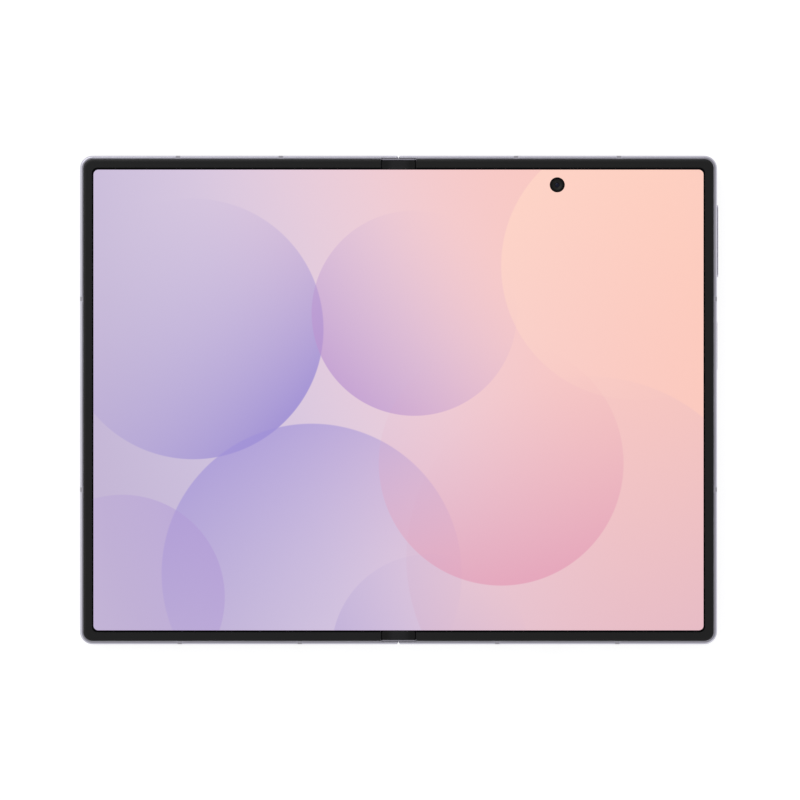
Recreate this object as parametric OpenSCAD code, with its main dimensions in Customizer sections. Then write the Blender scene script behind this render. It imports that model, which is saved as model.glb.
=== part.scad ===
// Foldable phone with a wide inner screen, opened flat.
// +X runs to the half that carries the keys, +Y runs up the fold, +Z is out of the screen.
// The origin is the middle of the outline, on the surface that the camera rings rest on.
// Heights in the modules are measured from the back plane; on_table() lifts them to the frame.

/* [Body] */
// Width of the opened phone
open_w = 161.4; // [155:0.1:175]
// Height of the phone along the fold
body_h = 123.8; // [118:0.1:140]
// Thickness of each half, from the back plane to the top of the screen rim
body_t = 4.9; // [4.8:0.05:5.6]
// Radius of the outer corners in plan
corner_r = 3.2; // [2.6:0.1:5]
// Thickness of the side rails
rail_wall = 1.1; // [1:0.05:1.4]
// Rounding of the long edges of the rails
edge_r = 0.6; // [0.3:0.05:0.7]
// Gap between the two halves along the seam
seam_gap = 0.1; // [0.06:0.01:0.2]
// Width of the slope on each rail end where the halves meet, in plan
seam_notch_w = 0.3; // [0.2:0.05:0.5]
// Length of that slope along the seam
seam_notch_l = 0.55; // [0.3:0.05:0.55]
// Thickness of the mid-plate that carries the screen
web_t = 0.35; // [0.3:0.05:0.5]
// Thickness of the glass on the back of each half
glass_t = 0.55; // [0.4:0.05:0.65]
// Width of the metal strip beside the seam on the back
back_strip = 3.2; // [2.5:0.1:4]
// Width of each antenna break
antenna_w = 1.1; // [0.8:0.1:1.5]

/* [Screen] */
// Outline to the inner edge of the raised rim
rim_w = 3.05; // [2.8:0.05:3.6]
// Outline to the lit part of the screen
screen_border = 3.42; // [3.2:0.02:4]
// Height of the rim above the screen
rim_rise = 0.25; // [0.15:0.05:0.35]
// Height of the rim above the side rails
rim_step = 0.15; // [0.1:0.05:0.25]
// Corner radius of the rim's inner edge
rim_corner_r = 1.4; // [0.8:0.1:3]
// Thickness of the folding screen
panel_t = 0.8; // [0.6:0.05:0.85]
// Half width of the part of the screen that bends
fold_half = 6; // [5.5:0.1:8]
// Radius of the hole for the inner camera
punch_r = 1.83; // [1.5:0.05:2.2]

/* [Hinge] */
// Depth of each fold axis below the top of the rim
axis_drop = 0.75; // [0.6:0.05:0.9]
// Gap between the two rims when the phone is closed
closing_gap = 0.1; // [0.06:0.02:0.2]
// Height of the spine's back above the back plane
spine_back = 0.8; // [0.7:0.05:1]
// Wall of the spine shell
spine_wall = 0.45; // [0.4:0.05:0.55]
// Running clearance between the spine and each half
run_clear = 0.2; // [0.15:0.05:0.3]
// Distance of each hinge module from the end of the phone
module_inset = 27.9; // [27.9:0.1:32]
// Teeth on each timing gear
gear_teeth = 10; // [10:1:12]
// Slope of the line from an idler to its timing gear, in degrees
gear_tilt = 18.5; // [17:0.5:22]
// Radius of the gear shafts
shaft_r = 0.25; // [0.2:0.01:0.3]
// Thickness of the arc rails
rail_t = 0.45; // [0.35:0.05:0.5]
// Gap beside the caps at the ends of the fold
cap_gap = 0.25; // [0.2:0.05:0.6]

/* [Cameras and keys] */
// Distance of the rear cameras from the outer edge
cam_inset_x = 14.7; // [13:0.1:18]
// Distance of the upper rear camera from the top edge
cam_inset_y = 15.4; // [14:0.1:20]
// Distance between the two rear cameras
cam_pitch = 16; // [15:0.1:18]
// Radius of each lens ring
ring_r = 6.2; // [5.5:0.1:6.8]
// Height of the camera island above the back
island_h = 1.1; // [0.6:0.1:1.6]
// Height of the lens rings above the island
ring_h = 0.9; // [0.5:0.1:1.2]
// Length of the volume key
volume_l = 18.4; // [16:0.1:22]
// Volume key's middle below the top edge
volume_inset = 21.6; // [18:0.1:26]
// Length of the side key
side_l = 12.8; // [11:0.1:16]
// Side key's middle below the top edge
side_inset = 48.2; // [44:0.1:56]
// Width of both keys across the rail
key_w = 2; // [1.6:0.1:2.2]
// How far the volume key stands out of the rail
volume_proud = 0.38; // [0.2:0.02:0.5]
// How far the side key stands out of the rail
side_proud = 0.16; // [0.06:0.02:0.3]
// Width of the card tray's face
tray_w = 14; // [13:0.1:15]
// Length of the card tray
tray_l = 16.5; // [14:0.1:18]
// Width of the charging socket
port_w = 8.94; // [8.9:0.02:9.1]
// Height of the charging socket
port_h = 3.16; // [3.1:0.02:3.2]

/* [Hidden] */
$fn = 48;

// Outline
half_w = open_w / 2;
half_h = body_h / 2;
seam_x = seam_gap / 2;
fit = 0.05; // gap around a part that is glued or pressed in place
cut = 1; // how far a cutter runs past the face it cuts
bite = 0.2; // how far two shapes of one solid run into each other

// Heights above the back plane
glass_seat = glass_t;
screen_top = body_t - rim_rise;
screen_z = screen_top - panel_t;
web_top = screen_z;
web_z = web_top - web_t;
rail_top = body_t - rim_step;
rim_seat = screen_top - fit;
rail_land = 0.25; // flat of the rails beside their rounding
rim_inset = edge_r + rail_land;
rim_leg_w = 0.9;
flange_w = 0.9;
flange_t = 0.4;
seam_wall = 0.6; // the rails beside the seam, outside the spine's ends
rim_crown = 0.65; // width of the rounding on the rim's outer edge
plan_r = corner_r - rim_inset;

// Fold axes: one for each half, at (axis_x, axis_z) and (-axis_x, axis_z)
axis_z = body_t - axis_drop;
axis_x = axis_drop + closing_gap / 2;
spine_r = axis_z - spine_back;
spine_bore = spine_r - spine_wall;
spine_drop = 0.25; // from the mid-plate down to the spine's edges
spine_top = web_z - spine_drop;
spine_end_gap = 0.08;
spine_half = half_h - seam_wall - spine_end_gap;
spine_end_t = 1.6;
end_plate_t = 0.42; // the ends of the spine rise beside the caps
end_plate_top = rail_top - 0.4;
groove_r = spine_r + run_clear;
bar_wall = 0.8;
bar_x = axis_x + groove_r + bar_wall;
seat_rise = 0.15; // from the spine's edges up to the arms
seat_top = spine_top + seat_rise;
seat_l = 4.85; // depth of the seats that the arms are screwed to
cavity_x = bar_x + seat_l; // the mid-plate begins here beside the hinge
cavity_wall = 0.5;
hinge_zone = half_h - screen_border + fit; // the bending strip, the wing plates and the open hinge end here

// Timing gears: two idlers in the middle and one gear beside each, all of one size
gear_q = (1 + 2 / gear_teeth) / (1 + 2 * cos(gear_tilt));
tip_gap = 0.15; // between the gears and the spine's bore
timing_drop = (spine_bore - tip_gap - axis_x * gear_q) / (sqrt(2) + gear_q);
timing_x = axis_x + timing_drop;
timing_z = axis_z - timing_drop;
pitch_r = timing_x / (1 + 2 * cos(gear_tilt));
tip_r = pitch_r * (1 + 2 / gear_teeth);
root_r = pitch_r * (1 - 2.5 / gear_teeth);
idler_z = timing_z - 2 * pitch_r * sin(gear_tilt);
tooth = 360 / gear_teeth;
bore_r = shaft_r + fit;
// The main idler has a tooth on the line between the idlers, and the cover idler a gap. Seen from each
// idler, its timing gear lies at the tilt, and a tooth there meets a gap in the other gear.
main_idler_phase = 180;
cover_idler_phase = tooth / 2;
main_timing_phase = 180 + 2 * gear_tilt - main_idler_phase + tooth / 2;
cover_timing_phase = 180 + 2 * (180 - gear_tilt) - cover_idler_phase + tooth / 2;

// Arc rails, concentric with the fold axes
rail_gap = 0.15;
rail_r1 = spine_bore - rail_gap;
rail_r0 = rail_r1 - rail_t;
rail_start = 155; // the rail's tip, in degrees below the axis from the far side
rail_end = 12;
arm_top = web_top - fit;
arm_end_gap = 0.5;
arm_end = cavity_x - arm_end_gap;
arm_screw_inset = 2.2;
arm_screw_x = bar_x + arm_screw_inset;
arm_screw_edge = 1; // from an arm's side to the middle of its screw
arm_screw_r = 0.4;
arm_screw_head = 0.7;
arm_screw_head_t = 0.25;
arm_screw_l = 1.5;
wing_x = 0.3;
wing_t = 0.3;
wing_z = web_top - wing_t;

// Zones of a hinge module along the fold, from its middle
module_y = half_h - module_inset;
module_half = 13;
seat_margin = 0.5;
seat_half = module_half + seat_margin;
gear_v = [-11.2, -9.4];
gear_pocket = [-11.4, -9.2];
main_rail_v = [-7.8, -3.8];
cover_rail_v = [-2.4, 1.6];
rail_play = 0.2;
spring_v = [3, 11.4];
cam_l = 2;
yoke_l = 1.2;
yoke_gap = 0.3;
yoke_v = spring_v[0] + cam_l + yoke_gap;
yoke_wall = 0.2; // over the bores of a yoke
shaft_half = module_half - seat_margin;
shaft_bite = 0.9; // how far an idler's shaft runs into the base beside its pocket
idler_shaft_end = gear_pocket[1] + shaft_bite;
shaft_end_gap = 0.1;
gear_room = 0.1; // round the gears and under the springs
slot_depth = 0.6; // depth of the arc slots beside a timing arm's pocket
pin_r = 0.25;
pin_inset = 1.2;
pin_drop = 0.4;
pin_x = cavity_x - pin_inset; // pin of the timing arm, at rest
pin_z = seat_top - pin_drop;
spring_r = 0.6;
spring_wire = 0.15;
spring_turns = 7;

// Screen rim and caps at the ends of the fold
rim_x = axis_x + groove_r + 2 * fit; // the rim begins here beside the fold
cap_x = rim_x - cap_gap;
cap_drop = 0.25;
cap_z = axis_z - cap_drop;
cap_end_gap = 0.2; // from a cap to the raised end of the spine
cap_end = spine_half - end_plate_t - cap_end_gap;
cap_r = 0.45;

// Rear cameras, inner camera and keys
cam_x = half_w - cam_inset_x;
cam_y = half_h - cam_inset_y;
island_edge = 1.5; // of the island beside a lens ring
island_w = 2 * (ring_r + island_edge);
cam_box = 10.6;
cam_top = web_top - fit;
barrel_r = 3.4;
ring_wall = 0.8; // from a ring's outside to its window
ring_lip = 0.4; // ledge that the window sits on
ring_step = 0.2; // how far a ring's foot is narrower than the ring
ring_foot = 0.5;
window_t = 0.4;
window_sink = 0.1;
flash_gap = 3.6; // from the island to the middle of the flash
flash_x = cam_x - island_w / 2 - flash_gap;
flash_y = cam_y - cam_pitch / 2;
flash_r = 1.9;
flash_depth = 0.5; // behind the glass
punch_in = 0.14; // from the middle of its half, towards the fold
punch_x = half_w / 2 - punch_in;
punch_inset = 7.4;
punch_y = half_h - punch_inset;
lens_top = screen_top - 2 * fit;
lens_gap = 0.15; // round the lens of a small camera
window_gap = 0.3; // round a camera in the mid-plate
key_z = (glass_seat + flange_t + web_z) / 2;
key_flange = 0.5;
key_rim = 0.1; // how far a key's flange is wider than the key
key_travel = 0.25;
key_round = 0.15; // step at the edge of a key's face
switch_t = 0.55;
tray_inset = 12.7;
tray_x = half_w - tray_inset;
tray_h = 1.9;
tray_blade = 1.2;
reader_t = 0.25;
reader_gap = 0.4;
reader_x = tray_x - tray_w / 2 - reader_gap;
port_x = half_w / 2;
port_z = glass_seat + 2 * fit + port_h / 2;
port_l = 7.3;
port_inset = 0.4; // from the rail's face to the socket's mouth
port_wall = 0.3;
speaker_x = 19;
speaker_w = 13;
haptic_w = 7;
haptic_l = 14;
haptic_gap = 0.3;
haptic_x = reader_x - haptic_gap - haptic_w;
bottom_gap = 1; // between the pieces below the battery
earpiece_gap = 9.15; // from the cover's camera to the middle of the earpiece
earpiece_x = punch_x + earpiece_gap;
earpiece_w = 12.5;
earpiece_l = 7.5;
mic_gap = 8.5; // from the middle of the charging socket
slot_pitch = 2.2;
slot_r = 0.5;
mic_r = 0.35;
small_cam_box = 5;
cover_cam_y = punch_y;
table_z = island_h + ring_h;

// Plan of the parts inside the halves
air = 0.2; // between a loose part and the frame
inside_gap = 0.7;
inside_inset = 3.6;
inside_x = cavity_x + cavity_wall + inside_gap;
inside_end = half_w - inside_inset;
board_inset = 2.4; // from the end of the phone to the boards
board_gap = 0.5; // round the cameras, and under the lids
board_rim = 2.3; // below the rear cameras
main_board_l = cam_inset_y + cam_pitch + cam_box / 2 + board_gap + board_rim - board_inset;
cover_board_l = 27.1;
battery_gap = 2.4; // between a battery and its board
main_battery_inset = 21.9;
cover_battery_inset = 14;
board_y = [half_h - board_inset - main_board_l, half_h - board_inset];
battery_y = [-half_h + main_battery_inset, board_y[0] - battery_gap];
cover_board_y = [half_h - board_inset - cover_board_l, half_h - board_inset];
cover_battery_y = [-half_h + cover_battery_inset, cover_board_y[0] - battery_gap];
board_t = 0.6;
board_z = web_z - 2 * fit - board_t;
lid_w = 18;
lid_gap = 2;
coil_t = 0.3;
coil_r = 19;
coil_bore = 11;
coil_shift = 2; // off the middle of the half
cover_panel_t = 0.5;
cover_panel_gap = 0.4;
low_z = glass_seat + fit;
cover_floor = glass_seat + cover_panel_t + fit;
cover_low_z = cover_floor;
flex_inset = 8.9;
flex_w = 8;
flex_t = 0.08;
flex_y = half_h - flex_inset;
flex_tail = 2;
flex_end = inside_x + flex_tail;
magnet_w = 1.3;
magnet_l = 8;
magnet_inset = 2.1;
magnet_low = [36.9, 19.9]; // from the end of the phone to each magnet's middle
switch_half = 1.5;
switch_w = 1.8;
switch_strip_t = 0.2;
switch_strip_w = 2;

// Antenna breaks: beside the earpiece, beside the tray and between the keys
antenna_near = [29.8, 25]; // top and bottom, from the seam
antenna_top_gap = 6.5;
antenna_tray_gap = 5.6;
antenna_low = 39.2;
antennas_top = [antenna_near[0], earpiece_x + antenna_top_gap];
antennas_bottom = [antenna_near[1], tray_x - tray_w / 2 - antenna_tray_gap];
keys_middle = (volume_inset + volume_l / 2 + side_inset - side_l / 2) / 2;
antennas_side = [half_h - keys_middle, -half_h + antenna_low];

// ---------- shared shapes ----------

module on_table() {
  translate([0, 0, table_z]) children();
}

module cover_side() {
  mirror([1, 0, 0]) children();
}

module both_modules() {
  for (s = [0, 1]) mirror([0, s, 0]) translate([0, module_y, 0]) children();
}

// A shape drawn in x and z, pulled along y from v[0] to v[1]
module along_y(v) {
  translate([0, v[1], 0]) rotate([90, 0, 0]) linear_extrude(v[1] - v[0]) children();
}

module rounded_box(size, r) {
  linear_extrude(size[2]) rounded(size[0], size[1], r);
}

// A rounded rectangle about the origin
module rounded(w, l, r) {
  square([w - 2 * r, l], center = true);
  square([w, l - 2 * r], center = true);
  for (x = [-1, 1], y = [-1, 1]) translate([x * (w / 2 - r), y * (l / 2 - r)]) circle(r);
}

// Plan of one half, inset from the outline, from x_in to the outer edge
module half_plan(inset, x_in, r) {
  x1 = half_w - inset;
  y1 = half_h - inset;
  translate([x_in, -y1]) square([x1 - r - x_in, 2 * y1]);
  translate([x_in, -y1 + r]) square([x1 - x_in, 2 * (y1 - r)]);
  for (s = [-1, 1]) translate([x1 - r, s * (y1 - r)]) circle(r);
}

// A section drawn as depth from the outline and height, swept round the three outer sides of a half
module rail_sweep(x_in) {
  side = half_h - corner_r;
  translate([half_w, side, 0]) mirror([1, 0, 0]) rotate([90, 0, 0]) linear_extrude(2 * side) children();
  for (s = [0, 1]) mirror([0, s, 0]) {
    translate([half_w - corner_r, half_h, 0]) rotate([90, 0, -90])
      linear_extrude(half_w - corner_r - x_in) children();
    translate([half_w - corner_r, half_h - corner_r, 0]) rotate_extrude(angle = 90)
      translate([corner_r, 0]) mirror([1, 0]) children();
  }
}

module axis_disc(r) {
  translate([axis_x, axis_z]) circle(r);
}

// An arc band about a point, from angle a0 to a1
module arc_band(r0, r1, a0, a1) {
  intersection() {
    difference() {
      circle(r1);
      circle(r0);
    }
    wedge(2 * r1, a0, a1);
  }
}

module wedge(r, a0, a1) {
  steps = 4;
  rim = [for (i = [0:steps]) let (a = a0 + (a1 - a0) * i / steps) r * [cos(a), sin(a)]];
  polygon(concat([[0, 0]], rim));
}

// ---------- frames ----------

module rail_section() {
  intersection() {
    square([rim_inset, rail_top]);
    union() {
      translate([edge_r, 0]) square([rim_inset, rail_top]);
      translate([0, edge_r]) square([rim_inset, rail_top - 2 * edge_r]);
      for (z = [edge_r, rail_top - edge_r]) translate([edge_r, z]) circle(edge_r);
    }
  }
  translate([rim_inset - bite, glass_seat]) square([rail_wall - rim_inset + bite, rim_seat - glass_seat]);
  translate([rail_wall - bite, glass_seat]) square([flange_w + bite, flange_t]);
}

// The bar on the hinge side of a half, with the lip that runs under the spine
module hinge_bar() {
  bar_end = half_h - rim_inset + bite;
  end_l = half_h - rail_wall - hinge_zone + bite;
  along_y([-bar_end, bar_end]) translate([seam_x, 0]) square([bar_x - seam_x, glass_seat]);
  along_y([-half_h + rail_wall - bite, half_h - rail_wall + bite])
    translate([seam_x, 0]) square([bar_x - seam_x, wing_z]);
  for (s = [0, 1]) mirror([0, s, 0])
    translate([axis_x, hinge_zone, web_z]) cube([cavity_x - axis_x + bite, end_l, web_t]);
}

// Blocks that the arms are screwed to, and the wall that closes the hinge off from the inside
module hinge_seats(floor_z) {
  both_modules() translate([bar_x - bite, -seat_half, floor_z])
    cube([seat_l + 2 * bite, 2 * seat_half, seat_top - floor_z]);
  translate([cavity_x, -hinge_zone, floor_z]) cube([cavity_wall, 2 * hinge_zone, web_top - floor_z]);
}

// What the spine and the turning ends of the rails need, seen along the fold
module spine_room() {
  along_y([-half_h + seam_wall, half_h - seam_wall]) axis_disc(groove_r);
  along_y([-half_h - cut, half_h + cut]) difference() {
    translate([-cut, -cut]) square([axis_x + cut, axis_z + cut]);
    axis_disc(axis_z);
  }
  along_y([-half_h - cut, half_h + cut]) difference() {
    translate([-cut, axis_z]) square([axis_x + cut, axis_drop + cut]);
    axis_disc(axis_x - seam_x);
  }
  for (s = [0, 1]) mirror([0, s, 0]) translate([0, 0, -cut]) linear_extrude(body_t + 2 * cut)
    polygon([[-cut, half_h - seam_notch_l], [seam_x, half_h - seam_notch_l], [seam_x + seam_notch_w, half_h],
      [seam_x + seam_notch_w, half_h + cut], [-cut, half_h + cut]]);
}

// Room for the timing arms, with the arc slots that their pins run in
module timing_room() {
  slot_r = sqrt(2) * timing_drop;
  pin_room = pin_r + fit;
  both_modules() {
    translate([bar_x - bar_wall - cut, gear_pocket[0], pin_z - timing_drop - bite])
      cube([seat_l + bar_wall + cut, gear_pocket[1] - gear_pocket[0], body_t]);
    along_y([gear_pocket[0] - slot_depth, gear_pocket[1] + slot_depth])
      translate([pin_x - timing_drop, pin_z + timing_drop]) {
        arc_band(slot_r - pin_room, slot_r + pin_room, -135, -45);
        for (a = [-135, -45]) rotate(a) translate([slot_r, 0]) circle(pin_room);
      }
  }
}

// Room for the rail arms on the bar, with their screw holes
module rail_arm_room(v) {
  both_modules() {
    translate([bar_x - bar_wall - cut, v[0] - rail_play, seat_top])
      cube([seat_l + bar_wall + cut, v[1] - v[0] + 2 * rail_play, body_t]);
    screw_places(v) translate([0, 0, seat_top - arm_screw_l - fit])
      cylinder(r = arm_screw_r, h = arm_screw_l + cut);
  }
}

module screw_places(v) {
  for (y = [v[0] + arm_screw_edge, v[1] - arm_screw_edge]) translate([arm_screw_x, y, 0]) children();
}

module flex_room() {
  translate([axis_x, flex_y - flex_w / 2 - bite, seat_top]) {
    cube([cavity_x + cavity_wall - axis_x + cut, flex_w + 2 * bite, web_z - seat_top]);
    cube([cavity_x - axis_x, flex_w + 2 * bite, body_t]);
  }
}

// The glass on the back runs over the bar up to the metal strip
module glass_room() {
  translate([back_strip - fit, -half_h + rim_inset, -cut])
    cube([half_w, 2 * (half_h - rim_inset), glass_seat + cut]);
}

module antenna_cuts() {
  depth = rim_inset + 2 * fit;
  tall = body_t + 2 * cut;
  half = antenna_w / 2;
  for (x = antennas_top) translate([x - half, half_h - depth, -cut]) cube([antenna_w, depth + cut, tall]);
  for (x = antennas_bottom) translate([x - half, -half_h - cut, -cut]) cube([antenna_w, depth + cut, tall]);
  for (y = antennas_side) translate([half_w - depth, y - half, -cut]) cube([depth + cut, antenna_w, tall]);
}

// The metal frame of a half: rails, mid-plate and hinge bar in one piece
module half_frame(arm_v, floor_z) {
  difference() {
    union() {
      rail_sweep(seam_x) rail_section();
      translate([0, 0, web_z]) linear_extrude(web_t)
        half_plan(rail_wall - bite, cavity_x, corner_r - rail_wall + bite);
      difference() {
        hinge_bar();
        glass_room();
      }
      hinge_seats(floor_z);
    }
    spine_room();
    timing_room();
    rail_arm_room(arm_v);
    flex_room();
    antenna_cuts();
  }
}

module antenna_breaks() {
  intersection() {
    rail_sweep(seam_x) rail_section();
    antenna_cuts();
  }
}

// Through slots in the rails, drawn on the outside of the rail
module side_slot(inset, l) {
  translate([half_w - rail_wall - cut, half_h - inset, key_z]) rotate([90, 0, 90])
    rounded_box([l + 2 * fit, key_w + 2 * fit, rail_wall + 2 * cut], key_w * 0.45 + fit);
}

module row_of_slots(x, count, r) {
  for (i = [0:count - 1]) translate([x + (i - (count - 1) / 2) * slot_pitch, 0, key_z]) rotate([-90, 0, 0])
    cylinder(r = r, h = rail_wall + flange_w + 2 * cut);
}

module bottom_edge() {
  translate([0, -half_h - cut, 0]) children();
}

module top_edge() {
  translate([0, half_h - rail_wall - flange_w - cut, 0]) children();
}

module web_window(x, y, w) {
  translate([x - w / 2, y - w / 2, web_z - cut]) cube([w, w, web_t + 2 * cut]);
}

module main_frame() {
  color([0.74, 0.73, 0.79]) difference() {
    half_frame(main_rail_v, glass_seat);
    side_slot(volume_inset, volume_l);
    side_slot(side_inset, side_l);
    for (i = [0, 1]) web_window(cam_x, cam_y - i * cam_pitch, cam_box + 2 * window_gap);
    web_window(punch_x, punch_y, small_cam_box + 2 * window_gap);
    // charging socket, with room for its shell under the screen
    along_y([-half_h - cut, -half_h + rail_wall + flange_w + cut])
      translate([port_x, port_z]) port_stadium(port_w + 2 * fit, port_h + 2 * fit);
    translate([port_x - port_w / 2 - 2 * fit, -half_h + rail_wall, glass_seat - cut])
      cube([port_w + 4 * fit, port_l + air, body_t + cut]);
    translate([tray_x, -half_h + rail_wall + flange_w + cut, key_z]) rotate([90, 0, 0])
      rounded_box([tray_w + 2 * fit, tray_h + 2 * fit, rail_wall + flange_w + 2 * cut], tray_h * 0.45 + fit);
    bottom_edge() {
      row_of_slots(speaker_x, 5, slot_r);
      for (s = [-1, 1]) row_of_slots(port_x + s * mic_gap, 1, mic_r);
    }
    top_edge() row_of_slots(port_x, 1, mic_r);
  }
}

module main_antenna_breaks() {
  color([0.62, 0.61, 0.67]) antenna_breaks();
}

module cover_frame() {
  color([0.74, 0.73, 0.79]) cover_side() difference() {
    half_frame(cover_rail_v, cover_floor);
    web_window(punch_x, cover_cam_y, small_cam_box + 2 * window_gap);
    top_edge() row_of_slots(earpiece_x, 5, slot_r);
    bottom_edge() row_of_slots(port_x, 1, mic_r);
  }
}

module cover_antenna_breaks() {
  color([0.62, 0.61, 0.67]) cover_side() antenna_breaks();
}

// ---------- glass, rims and screens ----------

module back_plate(t) {
  linear_extrude(t) half_plan(rim_inset + fit, back_strip, plan_r - fit);
}

module rear_glass() {
  color([0.82, 0.8, 0.88]) difference() {
    back_plate(glass_t);
    translate([0, 0, -cut]) linear_extrude(glass_t + 2 * cut) island_plan(fit);
    translate([flash_x, flash_y, -cut]) cylinder(r = flash_r + fit, h = glass_t + 2 * cut);
  }
}

module cover_glass() {
  color([0.05, 0.05, 0.06]) cover_side() back_plate(glass_t);
}

// The outer screen, bonded to the inside of the cover glass
module cover_panel() {
  border = rail_wall + flange_w + cover_panel_gap;
  color([0.02, 0.02, 0.03]) cover_side() translate([0, 0, glass_seat]) difference() {
    linear_extrude(cover_panel_t) half_plan(border, bar_x + 2 * fit, corner_r - rail_wall);
    translate([punch_x, cover_cam_y, -cut]) cylinder(r = punch_r + air, h = cover_panel_t + 2 * cut);
  }
}

// The raised rim round the screen: a rounded outer band, a flat top and a leg outside the screen
module screen_rim() {
  rim_t = rim_rise - fit;
  r = rim_corner_r;
  inner_w = half_w - rim_w;
  inner_h = half_h - rim_w;
  difference() {
    union() {
      rail_sweep(rim_x) translate([rim_inset + fit, rim_seat]) {
        translate([rim_crown, 0]) square([rim_leg_w - rim_crown, body_t - rim_seat]);
        square([rim_leg_w, body_t - rim_seat - rim_t]);
        intersection() {
          translate([rim_crown, body_t - rim_seat - rim_t]) scale([rim_crown / rim_t, 1]) circle(rim_t);
          square([rim_leg_w, body_t - rim_seat]);
        }
      }
      translate([0, 0, screen_top + fit]) linear_extrude(rim_t)
        half_plan(rim_inset + rim_leg_w, rim_x, plan_r - rim_leg_w);
      rail_sweep(rim_x) translate([rail_wall + fit, web_top])
        square([rim_leg_w - fit, screen_top - web_top + 2 * fit]);
    }
    translate([0, 0, screen_z]) linear_extrude(body_t) {
      translate([-cut, -inner_h]) square([inner_w - r + cut, 2 * inner_h]);
      translate([-cut, -inner_h + r]) square([inner_w + cut, 2 * (inner_h - r)]);
      for (s = [-1, 1]) translate([inner_w - r, s * (inner_h - r)]) circle(r);
    }
  }
}

module main_screen_rim() {
  color([0.1, 0.1, 0.11]) screen_rim();
}

module cover_screen_rim() {
  color([0.1, 0.1, 0.11]) cover_side() screen_rim();
}

// One rigid side of the folding screen
module screen_side() {
  inset = rail_wall + rim_leg_w + 2 * fit;
  translate([0, 0, screen_z]) linear_extrude(panel_t) half_plan(inset, fold_half, max(corner_r - inset, 0.4));
}

module inner_screen_main() {
  color([0.85, 0.72, 0.8]) difference() {
    screen_side();
    translate([punch_x, punch_y, screen_z - cut]) cylinder(r = punch_r, h = panel_t + 2 * cut);
  }
}

module inner_screen_cover() {
  color([0.78, 0.72, 0.86]) cover_side() screen_side();
}

// The middle of the folding screen, which bends with the hinge
module inner_screen_fold() {
  color([0.8, 0.72, 0.84]) translate([-fold_half, -hinge_zone + fit, screen_z])
    cube([2 * fold_half, 2 * (hinge_zone - fit), panel_t]);
}

// The plate that carries the screen beside the fold, open over the arms
module wing_plate(arm_v) {
  wing_half = hinge_zone - bite;
  difference() {
    translate([wing_x, -wing_half, wing_z]) cube([cavity_x - wing_x, 2 * wing_half, wing_t]);
    both_modules() for (v = [gear_pocket, [arm_v[0] - rail_play, arm_v[1] + rail_play]])
      translate([-cut, v[0], wing_z - cut]) cube([cavity_x - fit + cut, v[1] - v[0], wing_t + 2 * cut]);
  }
}

module main_wing_plate() {
  color([0.55, 0.56, 0.58]) wing_plate(main_rail_v);
}

module cover_wing_plate() {
  color([0.55, 0.56, 0.58]) cover_side() wing_plate(cover_rail_v);
}

// ---------- hinge ----------

// Section of the spine: an arc about each fold axis, joined by a flat back
module spine_section(r, top) {
  intersection() {
    union() {
      for (s = [-1, 1]) translate([s * axis_x, axis_z]) circle(r);
      translate([-axis_x, axis_z - r]) square([2 * axis_x, r]);
    }
    translate([-half_w, axis_z - r]) square([open_w, top - axis_z + r]);
  }
}

module spine_shell() {
  color([0.74, 0.73, 0.79]) difference() {
    union() {
      along_y([-spine_half, spine_half]) spine_section(spine_r, spine_top);
      for (s = [0, 1]) mirror([0, s, 0])
        along_y([spine_half - end_plate_t, spine_half]) spine_section(spine_r, end_plate_top);
    }
    along_y([-spine_half + spine_end_t, spine_half - spine_end_t]) spine_section(spine_bore, spine_top + cut);
  }
}

// The dark caps that close the ends of the fold, on the spine's end walls
module spine_caps() {
  neck_x = 3;
  neck_l = spine_end_t - fit - (spine_half - cap_end);
  cap_l = cap_end - hinge_zone - fit;
  color([0.12, 0.12, 0.13]) for (s = [0, 1]) mirror([0, s, 0]) {
    translate([0, hinge_zone + fit + cap_l / 2, cap_z])
      rounded_box([2 * cap_x, cap_l, body_t - fit - cap_z], cap_r);
    translate([-neck_x, cap_end - neck_l, spine_top]) cube([2 * neck_x, neck_l, cap_z - spine_top + fit]);
  }
}

// Steel blocks in the spine that hold the shafts and guide the arc rails
module hinge_bases() {
  reach = spine_r + axis_x;
  color([0.5, 0.5, 0.53]) both_modules() difference() {
    along_y([-module_half, module_half]) spine_section(spine_bore - 0.02, spine_top - fit);
    along_y(gear_pocket) {
      for (s = [-1, 1]) {
        translate([s * timing_x, timing_z]) circle(tip_r + gear_room);
        translate([s * pitch_r, idler_z]) circle(tip_r + gear_room);
      }
      translate([-reach, idler_z]) square([2 * reach, body_t]);
    }
    along_y([main_rail_v[0] - rail_play, main_rail_v[1] + rail_play]) rail_channel();
    along_y([cover_rail_v[0] - rail_play, cover_rail_v[1] + rail_play]) mirror([1, 0]) rail_channel();
    along_y(spring_v) translate([-reach, timing_z - spring_r - gear_room]) square([2 * reach, body_t]);
    for (s = [-1, 1]) {
      along_y([-shaft_half - shaft_end_gap, shaft_half + shaft_end_gap])
        translate([s * timing_x, timing_z]) circle(bore_r);
      along_y([-shaft_half - shaft_end_gap, idler_shaft_end + shaft_end_gap])
        translate([s * pitch_r, idler_z]) circle(shaft_r);
    }
  }
}

module rail_channel() {
  translate([axis_x, axis_z]) arc_band(rail_r0 - 0.08, spine_bore + cut, -rail_start - 6, 0);
}

// Arc rails that turn in the spine about a half's axis, with the arms that fix them to the half
module rail_arms(v) {
  root_x = axis_x + rail_r0 * cos(rail_end);
  both_modules() difference() {
    along_y(v) {
      translate([axis_x, axis_z]) arc_band(rail_r0, rail_r1, -rail_start, -rail_end);
      translate([root_x, seat_top]) square([arm_end - root_x, arm_top - seat_top]);
    }
    screw_places(v) {
      cylinder(r = arm_screw_r, h = body_t);
      translate([0, 0, arm_top - arm_screw_head_t]) cylinder(r = arm_screw_head + fit, h = cut);
    }
  }
}

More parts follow.
